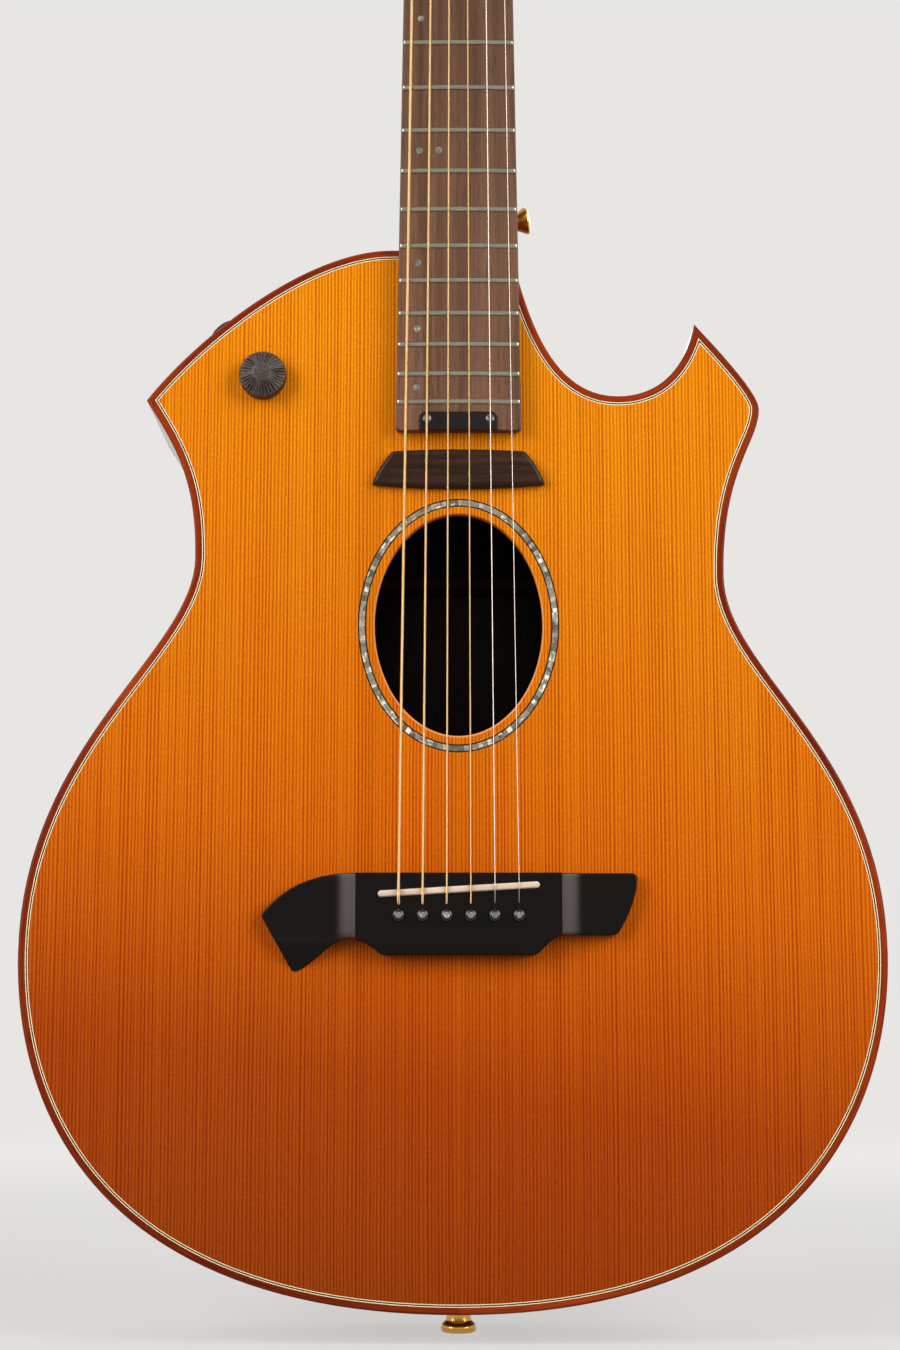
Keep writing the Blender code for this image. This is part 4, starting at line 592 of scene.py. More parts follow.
def strip(name, profile, finish, node=None, rear=False):
    """A closed profile of (inset, height) points carried round the outline. With rear set, heights
    are counted up from the sloping back plane."""
    rows = []
    for depth, z in profile:
        loop = inset(outline, depth)
        rows.append(raised(loop, z - body_depth(loop[:, 1]) if rear else z))
    stock = Stock().grid(np.stack(rows), closed=True, lapped=True, u=run, v=np.arange(len(rows) + 1) * 0.001)
    return make(name, stock, finish, node)


def line_finish(name, slot, along, across, low, high, **fixed):
    """A narrow wood line: noise stretched along its run, from one tone to another."""
    line = Finish(name, slot, Roughness=0.4, **fixed)
    u, v = line.run
    line.paint(line.noise(u * along, v * across), low, high)
    return line


cream = line_finish(
    "cream_purfling", "pale_bracing_wood", 150, 900, colour(250, 226, 172), colour(255, 243, 206),
    Coat_Weight=0.2, Coat_Roughness=0.1)
dyed = line_finish(
    "dyed_black_purfling", "pale_bracing_wood", 150, 900, colour(20, 12, 5), colour(38, 24, 10),
    Coat_Weight=0.05, Coat_Roughness=0.1, Specular_IOR_Level=0.1)
edge = BINDING_WIDTH
for name, width, finish in (
    ("outer_cream_line", 0.00038, cream), ("black_line", 0.00054, dyed), ("inner_cream_line", 0.00038, cream),
):
    low = -PURFLING_DEPTH
    strip(name, [(edge, 0.0), (edge + width, 0.0), (edge + width, low), (edge, low)], finish)
    edge += width

binding_wood = hardwood(
    "binding_wood", "red_brown_wood", colour(104, 26, 3), colour(140, 42, 5), colour(176, 66, 12), bent=True,
    Roughness=0.3, Coat_Weight=0.06, Coat_Roughness=0.06, Specular_IOR_Level=0.06)
rounded = [
    (BINDING_ROUND * (1 - math.cos(angle)), -BINDING_ROUND * (1 - math.sin(angle)))
    for angle in np.linspace(0, math.pi / 2, 7)]
profile = [(0.0, -BINDING_DEPTH), *rounded, (BINDING_WIDTH, 0.0), (BINDING_WIDTH, -BINDING_DEPTH)]
strip("rounded_top_binding", profile, binding_wood, "top_binding")
strip("rounded_back_binding", [(depth, -z) for depth, z in profile], binding_wood, "back_binding", rear=True)


# --- Sound hole ring ---------------------------------------------------------------------------------
# A narrow ring of abalone shell is let into the groove round the hole. It is made of short slips cut
# from the flat of the shell, so its greys, greens and white flashes change from slip to slip, between
# two hair-thin black lines.
RING_LINE, RING_SUNK, RING_LIFT = 0.00060, 0.00002, 0.00006
SLIP_LENGTH = 0.0105
pearl = Finish("abalone_slips", "abalone", Roughness=0.2, Coat_Weight=0.5, Coat_Roughness=0.04)
u, v = pearl.run
slips = (u + pearl.noise(u * 30, 0.0) * 0.006) / SLIP_LENGTH
chance = pearl.node("TexVoronoi", {"voronoi_dimensions": "1D"}, output="Color", W=slips)
pick, pick2, pick3 = [pearl.node("SeparateXYZ", output=axis, Vector=chance) for axis in range(3)]
swirl = pearl.noise(u * 260 + pick * 40, v * 420 + pick2 * 9, detail=4.0, roughness=0.65)
# White flashes: partly the shell's pale nacre, partly a painted highlight standing in for its sheen.
nacre_and_painted_glint = pearl.noise(u * 120 + pick3 * 30, v * 350).step(0.47, 0.60)
hue = pearl.ramp(
    (pick * 0.80 + swirl * 0.75 - 0.28).clamp(),
    (0.0, colour(70, 56, 40)), (0.25, colour(112, 99, 78)), (0.45, colour(142, 129, 108)),
    (0.60, colour(160, 148, 127)), (0.70, colour(112, 134, 112)), (0.82, colour(178, 168, 146)),
    (1.0, colour(218, 209, 186)))
base = pearl.mix(nacre_and_painted_glint * (pick2.step(0.40, 0.75) * 0.95 + 0.05), hue, colour(255, 250, 232))
seam = pearl.node("TexVoronoi", {"voronoi_dimensions": "1D", "feature": "DISTANCE_TO_EDGE"}, W=slips)
pearl.paint(seam.step(0.030, 0.010) * 0.7, base, colour(40, 30, 22))
pearl.bump(swirl, 0.00008)
border = line_finish(
    "ring_border", "abalone", 200, 800, colour(12, 6, 3), colour(30, 16, 8), Specular_IOR_Level=0.2)
around = lengths(ellipse(RING_MARGIN + RING_WIDTH / 2))
for name, first, last, finish, node in (
    ("abalone_ring", RING_LINE, RING_WIDTH - RING_LINE, pearl, "rosette"),
    ("ring_line_inside", 0.0, RING_LINE, border, None),
    ("ring_line_outside", RING_WIDTH - RING_LINE, RING_WIDTH, border, None),
):
    inside, outside = ellipse(RING_MARGIN + first), ellipse(RING_MARGIN + last)
    face, foot = -RING_SUNK, RING_LIFT - RING_DEPTH
    rows = [raised(inside, face), raised(outside, face), raised(outside, foot), raised(inside, foot)]
    v = np.array([0, 0.0036, 0.005, 0.0086, 0.01])
    make(name, Stock().grid(np.stack(rows), closed=True, lapped=True, u=around, v=v), finish, node)


# --- Bridge ------------------------------------------------------------------------------------------
# The bridge is carved from one block of ebony: a full-height middle that carries the saddle and the
# pins, and two wings that are scooped down beside it. The treble wing is square, and the bass wing
# sweeps out to a rounded shoulder and a long toe.
GAP = 0.0003  # the hairline of glue or air between two pieces
BRIDGE_TOP, BRIDGE_ROUND = 0.0093, 0.0009
BLOCK_HALF, RAMP = 0.0447, 0.006
BELLY_FROM_SADDLE, BELLY_LENGTH = 0.0195, 0.02
BRIDGE_KNOTS = (
    (-0.085075, -0.01375, 118, 118, 0.160, 0.400, 5),
    (-0.085075, -0.01125, 52, 52, 0.400, 0.290, 12),
    (-0.0472, 0.0058, 0, 0, 0.420, 0.100, 4),
    (0.0751, 0.0058, 0, 0, 0.100, 0.450, 5),
    (0.0776, 0.0033, -90, -93, 0.450, 0.350, 10),
    (0.06935, -0.01975, -122, -122, 0.300, 0.400, 4),
    (0.0656, -0.0210, 180, 180, 0.400, 0.100, 3),
    (BLOCK_HALF, -0.0210, 180, 180, 0.100, 0.200, 8),
    (0.0348, -0.02845, -136, -136, 0.300, 0.400, 4),
    (0.03105, -0.0297, 180, 180, 0.400, 0.100, 3),
    (-0.03105, -0.0297, 180, 180, 0.100, 0.400, 4),
    (-0.0348, -0.02845, 136, 136, 0.400, 0.300, 8),
    (-0.0472, -0.02225, 180, 180, 0.200, 0.300, 8),
    (-0.0680, -0.0353, -149, -149, 0.400, 0.300, 5),
    (-0.0730, -0.0353, 118, 118, 0.500, 0.160, 4),
)


def rim_of(table):
    """The points round a table's edge, as one closed loop."""
    return np.concatenate([table[0], table[1:-1, -1], table[-1, ::-1], table[-2:0:-1, 0]])


def block(top, floor, u=None, v=None):
    """A solid between a table of points and the flat floor under it, with upright sides."""
    foot = raised(top, floor)
    stock = Stock().grid(top, u=u, v=v)
    return stock.grid(np.stack([rim_of(top), rim_of(foot)]), closed=True).grid(foot)


def relief(plan, height, floor, radius, columns, rows=30):
    """A carved block over a plan that each line along y crosses once. z = height(x, y), less the drop
    r - sqrt(r^2 - (r - d)^2) of an edge rounded to radius r, where d is the distance to the plan."""
    left, right = plan[:, 0].argmin(), plan[:, 0].argmax()
    turned = np.roll(plan, -left, 0)
    far = (right - left) % len(plan)
    chains = [turned[: far + 1], np.concatenate([turned[far:], turned[:1]])[::-1]]
    ends = plan[left, 0], plan[right, 0]
    near = (ends[1] - ends[0]) * np.array([0.0005, 0.002, 0.004, 0.007, 0.011])
    xs = np.unique(np.concatenate([np.linspace(*ends, columns), ends[0] + near, ends[1] - near, plan[:, 0]]))
    runs = [np.interp(xs, np.maximum.accumulate(chain[:, 0]), chain[:, 1]) for chain in chains]
    high, low = np.maximum(*runs), np.minimum(*runs)
    share = (1 - np.cos(np.linspace(0, math.pi, rows))) / 2
    ys = low + (high - low) * share[:, None]
    spread = np.broadcast_to(xs, ys.shape)
    flat = np.stack([spread.ravel(), ys.ravel()], 1)
    inside = np.minimum(distance_to(plan, flat), radius).reshape(ys.shape)
    inside[:, [0, -1]] = 0
    inside[[0, -1]] = 0
    drop = radius - np.sqrt(np.maximum(0, radius**2 - (radius - inside) ** 2))
    top = spots(spread, ys, height(spread, ys) - drop)
    return block(top, floor, u=np.append(xs, xs[-1]), v=np.append(ys.mean(1), 0))


def bridge_height(x, y):
    """Full height as far as the block's end, then a ramp whose slope eases from 0.62 to 0.40 over the
    first 6 mm and to nothing over the next 6, and a slow fall over the wing. A shallow belly slopes down
    behind the pins by the square of the distance."""
    past = np.abs(x) - BLOCK_HALF
    steep, easy = np.clip(past, 0, RAMP), np.clip(past - RAMP, 0, RAMP)
    fall = steep * (0.62 - 0.11 * steep / RAMP) + easy * 0.40 * (1 - easy / (2 * RAMP))
    belly = 18 * np.clip(SADDLE_Y - BELLY_FROM_SADDLE - y, 0, BELLY_LENGTH) ** 2
    return BRIDGE_TOP - fall - belly - 0.02 * np.maximum(0, past - 2 * RAMP)


ebony = Finish("polished_ebony", "ebony", Roughness=0.20, Specular_IOR_Level=0.14)
grain = ebony.grain(30, 900, 900)
streak = ebony.grain(5, 140, 140).step(0.55, 0.75)
base = ebony.mix(streak * 0.4, ebony.mix(grain, colour(6, 2, 2), colour(14, 6, 5)), colour(38, 22, 16))
# The scoops beside the block are painted grey: a painted reflection of the softboxes on their slopes.
past = ebony.place[0].math("ABSOLUTE") - BLOCK_HALF
painted_scoop_sheen = past.step(-0.0001, 0.0001) * past.step(0.0095, 0.0030)
ebony.paint(painted_scoop_sheen * 0.9, base, colour(74, 62, 57))
ebony.feed("Roughness", grain * 0.12 + 0.18)
ebony.bump(grain, 0.00003)
plan = knot_loop(BRIDGE_KNOTS) + [0, SADDLE_Y]
make("carved_bridge", relief(plan, bridge_height, GAP, BRIDGE_ROUND, 260), ebony, "bridge", sharp=50)


# --- Saddle ------------------------------------------------------------------------------------------
# A strip of polished bone stands in a slanted slot, with the thin element of a pickup under it. Its
# crown is rounded, and its ends are rounded off.
SADDLE_LENGTH, SADDLE_THICKNESS, SADDLE_FOOT, SADDLE_TOP = 0.0701, 0.0029, 0.0043, 0.0110
SADDLE_MIDDLE_Y, SADDLE_TURN = SADDLE_Y - 0.0015, math.radians(3.3)


def mottled(name, slot, low, high, grain, detail=2.0, rough=None, **fixed):
    """A finish that wanders from one colour to another by a noise. rough gives the roughness where the
    noise is 0 and how much it rises to where the noise is 1."""
    finish = Finish(name, slot, **fixed)
    tone = finish.grain(*grain, detail)
    finish.paint(tone, low, high)
    if rough:
        finish.feed("Roughness", tone * rough[1] + rough[0])
    return finish


bone = Finish("polished_bone", "bone", Roughness=0.28, Coat_Weight=0.3, Coat_Roughness=0.15)
base = bone.mix(bone.grain(90, 300, 300, detail=3.0), colour(214, 184, 158), colour(246, 226, 204))
canal = bone.grain(260, 2600, 2600, detail=1.0).step(0.6, 0.72)
bone.paint(canal * 0.35, base, colour(170, 140, 100))

half = SADDLE_THICKNESS / 2
quarter = math.pi / 2
ends = np.concatenate([np.linspace(-quarter, quarter, 13), np.linspace(quarter, 3 * quarter, 13)])
straight = np.repeat([SADDLE_LENGTH / 2 - half, half - SADDLE_LENGTH / 2], 13)
c, s = math.cos(SADDLE_TURN), math.sin(SADDLE_TURN)
rows = []
for share, drop in (
    (1.0, SADDLE_TOP - SADDLE_FOOT), (1.0, 0.0010), (0.93, 0.00045), (0.74, 0.00012), (0.45, 0.0),
):
    along, across = straight + half * share * np.cos(ends), half * share * np.sin(ends)
    rows.append(spots(along * c - across * s, SADDLE_MIDDLE_Y + along * s + across * c, SADDLE_TOP - drop))
make("bone_saddle", Stock().grid(np.stack(rows), closed=True).fan(rows[0]).fan(rows[-1]), bone, "saddle")

steel = mottled(
    "bare_steel", "steel", colour(150, 150, 148), colour(196, 194, 188), (400, 400, 60), rough=(0.3, 0.2),
    Metallic=1.0, Roughness=0.38)
for node in ("saddle_pickup", "truss_rod"):
    frame["nodes"][node].material_slots[0].material = steel.material


# --- Bridge pins -------------------------------------------------------------------------------------
# Six tapered pins of black ebony wedge the strings' ball ends. Each has a turned ball head with a small
# dot of shell set into its crown.
PIN_PROFILE = (
    (0.0, 0.0029), (0.00134, 0.0028),
    *((0.0029 * math.sin(a), 0.0012 + 0.0018 * math.cos(a)) for a in np.linspace(0.52, 1.75, 10)),
    (0.0027, 0.0003), (0.0025, 0.0), (0.0021, -0.021), (0.0, -0.024))
PIN_DOT_PROFILE = (0.0, 0.00306), (0.0007, 0.00302), (0.00134, 0.00286), (0.00134, 0.0024), (0.0, 0.0024)


def lathe(profile, steps, centre=(0, 0, 0)):
    """A solid of revolution: each (radius, z) of the profile becomes the ring r cos t, r sin t, z about
    the centre."""
    turn = whole_turn(steps)
    radius, height = np.array(profile)[:, :1], np.array(profile)[:, 1:] + centre[2]
    table = spots(centre[0] + radius * np.cos(turn), centre[1] + radius * np.sin(turn), height)
    stock = Stock().grid(table, closed=True, u=np.arange(steps + 1) * 0.001, v=np.append(height[:, 0], 0))
    for end in (0, -1):
        if radius[end] > 0:
            stock.fan(table[end])
    return stock


gloss_black = mottled(
    "turned_ebony", "ebony", colour(10, 7, 7), colour(26, 16, 13), (1500, 200, 1500), 1.0,
    Roughness=0.12, Specular_IOR_Level=0.4)
dot_shell = Finish("shell_dot", "abalone", Roughness=0.15, Coat_Weight=0.6, Coat_Roughness=0.03)
dot_shell.feed("Base Color", dot_shell.ramp(
    dot_shell.grain(420, 420, 420, detail=3.0),
    (0.3, colour(58, 84, 84)), (0.45, colour(110, 128, 112)), (0.58, colour(150, 140, 126)),
    (0.72, colour(222, 214, 200))))
for number in STRINGS:
    seat = string_x(number, SADDLE_Y), PIN_Y, BRIDGE_TOP + GAP
    make(f"turned_pin_{number}", lathe(PIN_PROFILE, 36, seat), gloss_black, f"bridge_pin_{number}")
    make(f"pin_dot_{number}", lathe(PIN_DOT_PROFILE, 24, seat), dot_shell)


# --- Neck --------------------------------------------------------------------------------------------
# The neck, its carved heel and the tilted headstock are one piece of mahogany, stained to the body's
# red-brown and lacquered to a satin gloss. A thin ebony veneer faces the headstock.
NUT_THICKNESS = 0.0055
HEAD_Y = NUT_Y + NUT_THICKNESS
HEAD_ANGLE = math.radians(14)
HEAD_THICKNESS, HEAD_LENGTH = 0.0150, 0.172
HEAD_WIDTH, HEAD_SPREAD, FLARE_LENGTH, CROWN_LENGTH = 0.064, 0.010, 0.026, 0.016
BOARD_AT_NUT, BOARD_AT_END = 0.0430, 0.0563
SHAFT_AT_BODY, SHAFT_TAPER = 0.0175, 0.0025
HEEL_DEPTH, HEEL_REACH = 0.078, 0.028
VENEER = 0.0012


def board_half_width(y):
    """Half the fingerboard's width: a straight taper from its end to the nut."""
    return (BOARD_AT_NUT + (BOARD_AT_END - BOARD_AT_NUT) * (NUT_Y - y) / (NUT_Y - BOARD_END_Y)) / 2


def head_half_width(u):
    """Half the headstock's width: a quick S-shaped flare at the nut, a slow taper, a round crown."""
    flare = np.clip(u / FLARE_LENGTH, 0, 1)
    flare = flare * flare * (3 - 2 * flare)
    width = BOARD_AT_NUT + (HEAD_WIDTH - BOARD_AT_NUT) * flare + HEAD_SPREAD * flare * u / HEAD_LENGTH
    crown = np.maximum(0.0, (u - HEAD_LENGTH + CROWN_LENGTH) / CROWN_LENGTH)
    return width / 2 * np.sqrt(1 - 0.55 * crown**2)


def head_steps(first, flare, middle):
    """Distances along the headstock from the nut, closer together in its flare and its crown."""
    return np.concatenate([
        np.linspace(first, 0.030, flare), np.linspace(0.036, 0.150, middle),
        HEAD_LENGTH - CROWN_LENGTH * np.cos(np.linspace(0.3, math.pi / 2, 12))])


def head_to_maker(points):
    """The tilted headstock's frame to the maker's: a turn by the head angle about the nut's back edge."""
    x, u, z = points[..., 0], points[..., 1], points[..., 2]
    c, s = math.cos(HEAD_ANGLE), math.sin(HEAD_ANGLE)
    return spots(x, HEAD_Y + u * c + z * s, z * c - u * s)


def from_head(points):
    """The headstock's frame to the shared frame."""
    return from_face(head_to_maker(points))


def squarer(value, power):
    """value^(2 / power) with its sign. A cosine and a sine so treated trace a circle squared off by
    the power."""
    return np.sign(value) * np.abs(value) ** (2 / power)


def section(half, depth, power, steps=36):
    """A neck section: x = half cos^(2/p), z = -depth sin^(2/p), flat in front. A high p is squarer."""
    turn = np.linspace(0, math.pi, steps + 1)
    half, depth, power = half[:, None], depth[:, None], power[:, None]
    cosine = np.cos(turn)
    cosine[steps // 2] = 0
    return half * squarer(cosine, power), -depth * squarer(np.sin(turn), power)


ys = np.concatenate([
    np.linspace(BODY_LENGTH + GAP, BODY_LENGTH + 0.12, 40),
    np.linspace(BODY_LENGTH + 0.13, HEAD_Y - 0.0015, 46)])
heel = np.exp(-(ys - BODY_LENGTH) / HEEL_REACH)
slim = SHAFT_AT_BODY - SHAFT_TAPER * (ys - BODY_LENGTH) / (NUT_Y - BODY_LENGTH)
x, z = section(board_half_width(ys), slim + (HEEL_DEPTH - slim) * heel, 2.3 + 1.2 * heel * (1 - heel))
shaft = spots(x, ys[:, None], z)
us = head_steps(0.004, 14, 18)
thick = np.full(len(us), HEAD_THICKNESS - VENEER)
x, z = section(head_half_width(us), thick, 2.3 + 6 * np.minimum(1, us / 0.028))
head = head_to_maker(spots(x, us[:, None], z - VENEER * np.minimum(1, us / 0.01)[:, None]))
stained = hardwood(
    "stained_neck_mahogany", "neck_mahogany", colour(74, 26, 14), colour(104, 42, 22), colour(136, 62, 32),
    Roughness=0.30, Coat_Weight=0.4, Coat_Roughness=0.18)
rows = np.concatenate([shaft, head])
stock = Stock().grid(rows).grid(np.stack([rows[:, -1], rows[:, 0]])).fan(rows[0]).fan(rows[-1])
make("carved_neck", stock, stained, "neck", sharp=50)

us = head_steps(0.002, 16, 16)
wide = head_half_width(us)
edge = np.concatenate([np.stack([wide, us], 1), np.stack([-wide, us], 1)[::-1]])
rows = [raised(edge, -VENEER), raised(edge, -0.0004), raised(edge * [0.988, 1] - [0, 0.0002], 0.0)]
stock = Stock().grid(np.stack(rows), closed=True)
for row in (rows[0], rows[-1]):
    stock.grid(np.stack([row[: len(us)], row[len(us) :][::-1]]))
make("headstock_veneer", stock, ebony, frame_of=from_head, sharp=50)


# --- Fingerboard -------------------------------------------------------------------------------------
# The fingerboard is a long tapered strip of streaky rosewood, planed to a bow of 406 mm radius and
# oiled. Nineteen nickel-silver frets are pressed into it, with rounded crowns and filed ends, and small
# shell dots mark the frets between the two lowest strings.
BOARD_RADIUS, BOARD_TOP = 0.406, 0.0063
EDGE_ROUND, END_ROUND, END_DROP = 0.0007, 0.0018, 0.0003
FRET_HEIGHT, FRET_SUNK, FRET_HALF_WIDTH, FRET_SHORT = 0.0010, 0.0001, 0.00118, 0.0003
MARKERS = ((3, 5.5), (5, 5.5), (7, 5.5), (9, 5.5), (12, 5.5), (12, 4.5), (15, 5.5), (17, 5.5), (19, 5.5))
MARKER_PROFILE = (0.0, 0.00008), (0.0014, 0.00006), (0.00155, 0.0), (0.00155, -0.001), (0.0, -0.001)


def bow(x):
    """How far the board's face falls away from its middle: R - sqrt(R^2 - x^2)."""
    return BOARD_RADIUS - np.sqrt(BOARD_RADIUS**2 - x * x)


def fret_y(number):
    """A fret's place: each twelve frets halve the string that is left to the saddle."""
    return SADDLE_Y + SCALE_LENGTH / 2 ** (number / 12)


rosewood = Finish("oiled_rosewood", "rosewood", Roughness=0.42, Specular_IOR_Level=0.3)
x, y, z = rosewood.place
drift = rosewood.noise(x * 20, z * 4) - 0.5
bands = rosewood.noise(x * 150 + drift * 5, y * 150, z * 1.6, detail=3.0)
fine = rosewood.grain(1300, 1300, 16)
pores = rosewood.grain(2600, 2600, 80, detail=1.0).step(0.60, 0.70)
base = rosewood.ramp(
    bands * 0.75 + fine * 0.25,
    (0.25, colour(70, 42, 28)), (0.45, colour(106, 70, 49)), (0.6, colour(128, 90, 65)),
    (0.78, colour(156, 114, 86)))
# The board is darkened towards the nut: painted shade where the light falls off up the neck.
base = rosewood.mix(z.step(0.40, 0.60) * 0.4, base, colour(66, 36, 20))
rosewood.paint(pores * 0.65, base, colour(34, 20, 14))
rosewood.feed("Roughness", fine * 0.2 + 0.36)
rosewood.bump(pores * -1.0 + fine * 0.2, 0.00008)

turn = np.linspace(0, math.pi / 2, 6)
over, away = EDGE_ROUND * np.sin(turn), EDGE_ROUND * (1 - np.cos(turn))
ys = np.concatenate([
    np.linspace(NUT_Y - GAP, BOARD_END_Y + 0.0030, 60), BOARD_END_Y + END_ROUND * (1 - np.sin(turn))])
half = board_half_width(ys)
half[-6:] -= END_ROUND * (1 - np.cos(turn))
flat = (half - EDGE_ROUND)[:, None]
x = np.concatenate([-flat - over[::-1], flat * np.linspace(-0.95, 0.95, 15), flat + over], 1)
z = BOARD_TOP - bow(x) - np.concatenate([away[::-1], np.zeros(15), away])
z[-1] -= END_DROP
face = spots(x, ys[:, None], z)
foot = raised(face, GAP)
stock = Stock().grid(np.concatenate([face, foot[:, ::-1]], 1), closed=True)
for end in (0, -1):
    stock.grid(np.stack([face[end], foot[end]]))
make("rosewood_fingerboard", stock, rosewood, "fingerboard", sharp=50)

nickel = mottled(
    "nickel_fret_wire", "steel", colour(132, 128, 114), colour(168, 164, 148), (300, 300, 900),
    Metallic=1.0, Roughness=0.26)
nickel.feed("Roughness", nickel.grain(60, 2000, 3000, detail=1.0) * 0.18 + 0.2)
crown = np.linspace(0, math.pi, 9)
tips = np.array([0.985, 0.995, 1.0])
shares = np.concatenate([-tips[::-1], np.linspace(-0.96, 0.96, 15), tips])[:, None]
lift = np.interp(np.abs(shares), [0.96, 0.985, 1.0], [1.0, 0.85, 0.35])
stock = Stock()
for number in range(1, FRET_COUNT + 1):
    along = shares * (board_half_width(fret_y(number)) - FRET_SHORT)
    z = BOARD_TOP - bow(along) - FRET_SUNK + FRET_HEIGHT * np.sin(crown) * lift
    table = spots(along, fret_y(number) + FRET_HALF_WIDTH * np.cos(crown), z)
    stock.grid(table, closed=True).fan(table[0]).fan(table[-1])
make("nickel_frets", stock, nickel, sharp=60)

stock = Stock()
for number, between in MARKERS:
    y = (fret_y(number) + fret_y(number - 1)) / 2
    x = string_x(between, y)
    stock.take(lathe(MARKER_PROFILE, 28, (x, y, BOARD_TOP - bow(x))))
make("fret_marker_dots", stock, dot_shell)


# --- Adjuster cover ----------------------------------------------------------------------------------
# A small black plate is let into the fingerboard's end over the neck rod's adjuster, and held by two
# countersunk screws.
PLATE_HALF, PLATE_LENGTH, PLATE_CORNER, PLATE_ROUND = 0.0175, 0.0083, 0.003, 0.0004
PLATE_PROUD, PLATE_SUNK = 0.0003, 0.0030
PLATE_SCREW_X, PLATE_SCREW_Y = 0.0141, 0.0050
PLATE_SCREW_PROFILE = (
    (0.0, 0.0001), (0.0005, 0.0001), (0.0006, 0.0005), (0.0012, 0.0007), (0.0019, 0.0003), (0.0019, -0.001),
    (0.0, -0.001))
black_plastic = mottled(
    "satin_black_plastic", "black_plastic", colour(16, 14, 14), colour(28, 25, 24), (60, 60, 60),
    rough=(0.28, 0.12), Roughness=0.34, Specular_IOR_Level=0.2)
black_plastic.bump(black_plastic.grain(2500, 2500, 2500, detail=1.0), 0.00002)

turn = np.linspace(0, math.pi / 2, 7)
low, high, bend = BOARD_END_Y - 0.0002, BOARD_END_Y + PLATE_LENGTH - PLATE_CORNER, PLATE_HALF - PLATE_CORNER
plan = np.concatenate([
    [[-PLATE_HALF, low], [-PLATE_HALF, high]],
    np.stack([-bend - PLATE_CORNER * np.cos(turn), high + PLATE_CORNER * np.sin(turn)], 1)[1:],
    np.stack([bend + PLATE_CORNER * np.sin(turn), high + PLATE_CORNER * np.cos(turn)], 1),
    [[PLATE_HALF, low]]])
plate = relief(
    plan, lambda x, y: BOARD_TOP + PLATE_PROUD - bow(x) * 0.3, BOARD_TOP - PLATE_SUNK, PLATE_ROUND, 50, 16)
make("adjuster_plate", plate, black_plastic, "adjuster_cover", sharp=50)

dull_steel = Finish("dull_screw_steel", "steel", Metallic=1.0, Roughness=0.42)
rust = dull_steel.grain(1400, 1400, 1400, detail=3.0).step(0.35, 0.65)
dull_steel.paint(rust, colour(62, 56, 50), colour(118, 111, 103))
stock = Stock()
for x in (-PLATE_SCREW_X, PLATE_SCREW_X):
    stock.take(lathe(PLATE_SCREW_PROFILE, 24, (x, BOARD_END_Y + PLATE_SCREW_Y, BOARD_TOP)))
make("adjuster_screws", stock, dull_steel)


# --- Nut ---------------------------------------------------------------------------------------------
# A bone nut ends the fingerboard. Each string lies in its own filed slot, and the top slopes down to
# the headstock.
NUT_HEIGHT, NUT_HALF, NUT_CORNER, NUT_PROUD = 0.0076, 0.0215, 0.0010, 0.0002
SLOT_DEPTH, SLOT_HALF = 0.0005, 0.0007
slot_x = np.array([[string_x(number, NUT_Y)] for number in STRINGS])
xs = np.sort(np.concatenate([
    np.linspace(-NUT_HALF, NUT_HALF, 40), (slot_x + np.array([-1.2, -0.8, 0.0, 0.8, 1.2]) * 0.0008).ravel()]))
slots = SLOT_DEPTH * np.clip(1.4 - np.abs(xs - slot_x) / SLOT_HALF, 0, 1).max(0)
corner = NUT_CORNER * np.clip((np.abs(xs) - NUT_HALF + NUT_CORNER) / NUT_CORNER, 0, 1) ** 2
across = np.array([0.0, 0.0004, 0.0012, 0.0030, 0.0047, 0.0051])[:, None]
crown = np.array([0.0006, 0.0001, 0.0, 0.0003, 0.0009, 0.0016])[:, None]
top = spots(xs, NUT_Y + GAP + across, NUT_HEIGHT + NUT_PROUD - crown - slots - corner)
make("bone_nut", block(top, GAP), bone, "nut")


# --- Tuning machines ---------------------------------------------------------------------------------
# Six enclosed gold-plated machines. A cast case with a worm gear inside is screwed to the back of the
# headstock, its threaded sleeve comes through to a washer in front, and the post stands out of it. The
# button on its short shaft turns the worm.
PEG_FIRST, PEG_SPACING, PEG_INSET = 0.044, 0.042, 0.0095
CASE_SIZE, CASE_SHIFT = np.array([0.0165, 0.0220, 0.0105]), 0.0010
CASE_TOP, CASE_BOTTOM = -HEAD_THICKNESS - GAP, -HEAD_THICKNESS - GAP - CASE_SIZE[2]
WORM_Z = (CASE_TOP + CASE_BOTTOM) / 2
POST_RADIUS = 0.0030
WASHER_PROFILE = (
    (0.0034, 0.0022), (0.0062, 0.0022), (0.0069, 0.0017), (0.0070, 0.0003), (0.0049, 0.0003), (0.0049, WORM_Z),
    (0.0034, WORM_Z))
CASE_SCREW_PROFILE = (0.0, 0.0), (0.0012, 0.0), (0.0013, 0.0006), (0.0008, 0.0010), (0.0, 0.0007)
POST_PROFILE = (
    (0.0, 0.0125), (0.0020, 0.0125), (0.0027, 0.0121), (POST_RADIUS, 0.0114), (POST_RADIUS, 0.0088),
    (0.0027, 0.0080), (0.0027, 0.0052), (POST_RADIUS, 0.0044), (POST_RADIUS, WORM_Z - 0.0034),
    (0.0, WORM_Z - 0.0034))
BUTTON_SHAFT_PROFILE = (
    (0.0, -0.0029), (0.0022, -0.0029), (0.0022, 0.0), (0.0031, 0.0002), (0.0033, 0.0010), (0.0024, 0.0018),
    (0.0022, 0.0060), (0.0029, 0.0085), (0.0036, 0.0098), (0.0030, 0.0112), (0.0, 0.0118))
BUTTON_SIZE, BUTTON_Z = np.array([0.0064, 0.0182, 0.0150]), 0.0185
gold = mottled(
    "gold_plate", "gold_plate", colour(196, 140, 62), colour(228, 178, 92), (120, 120, 120), 3.0,
    rough=(0.12, 0.16), Metallic=1.0, Roughness=0.2)


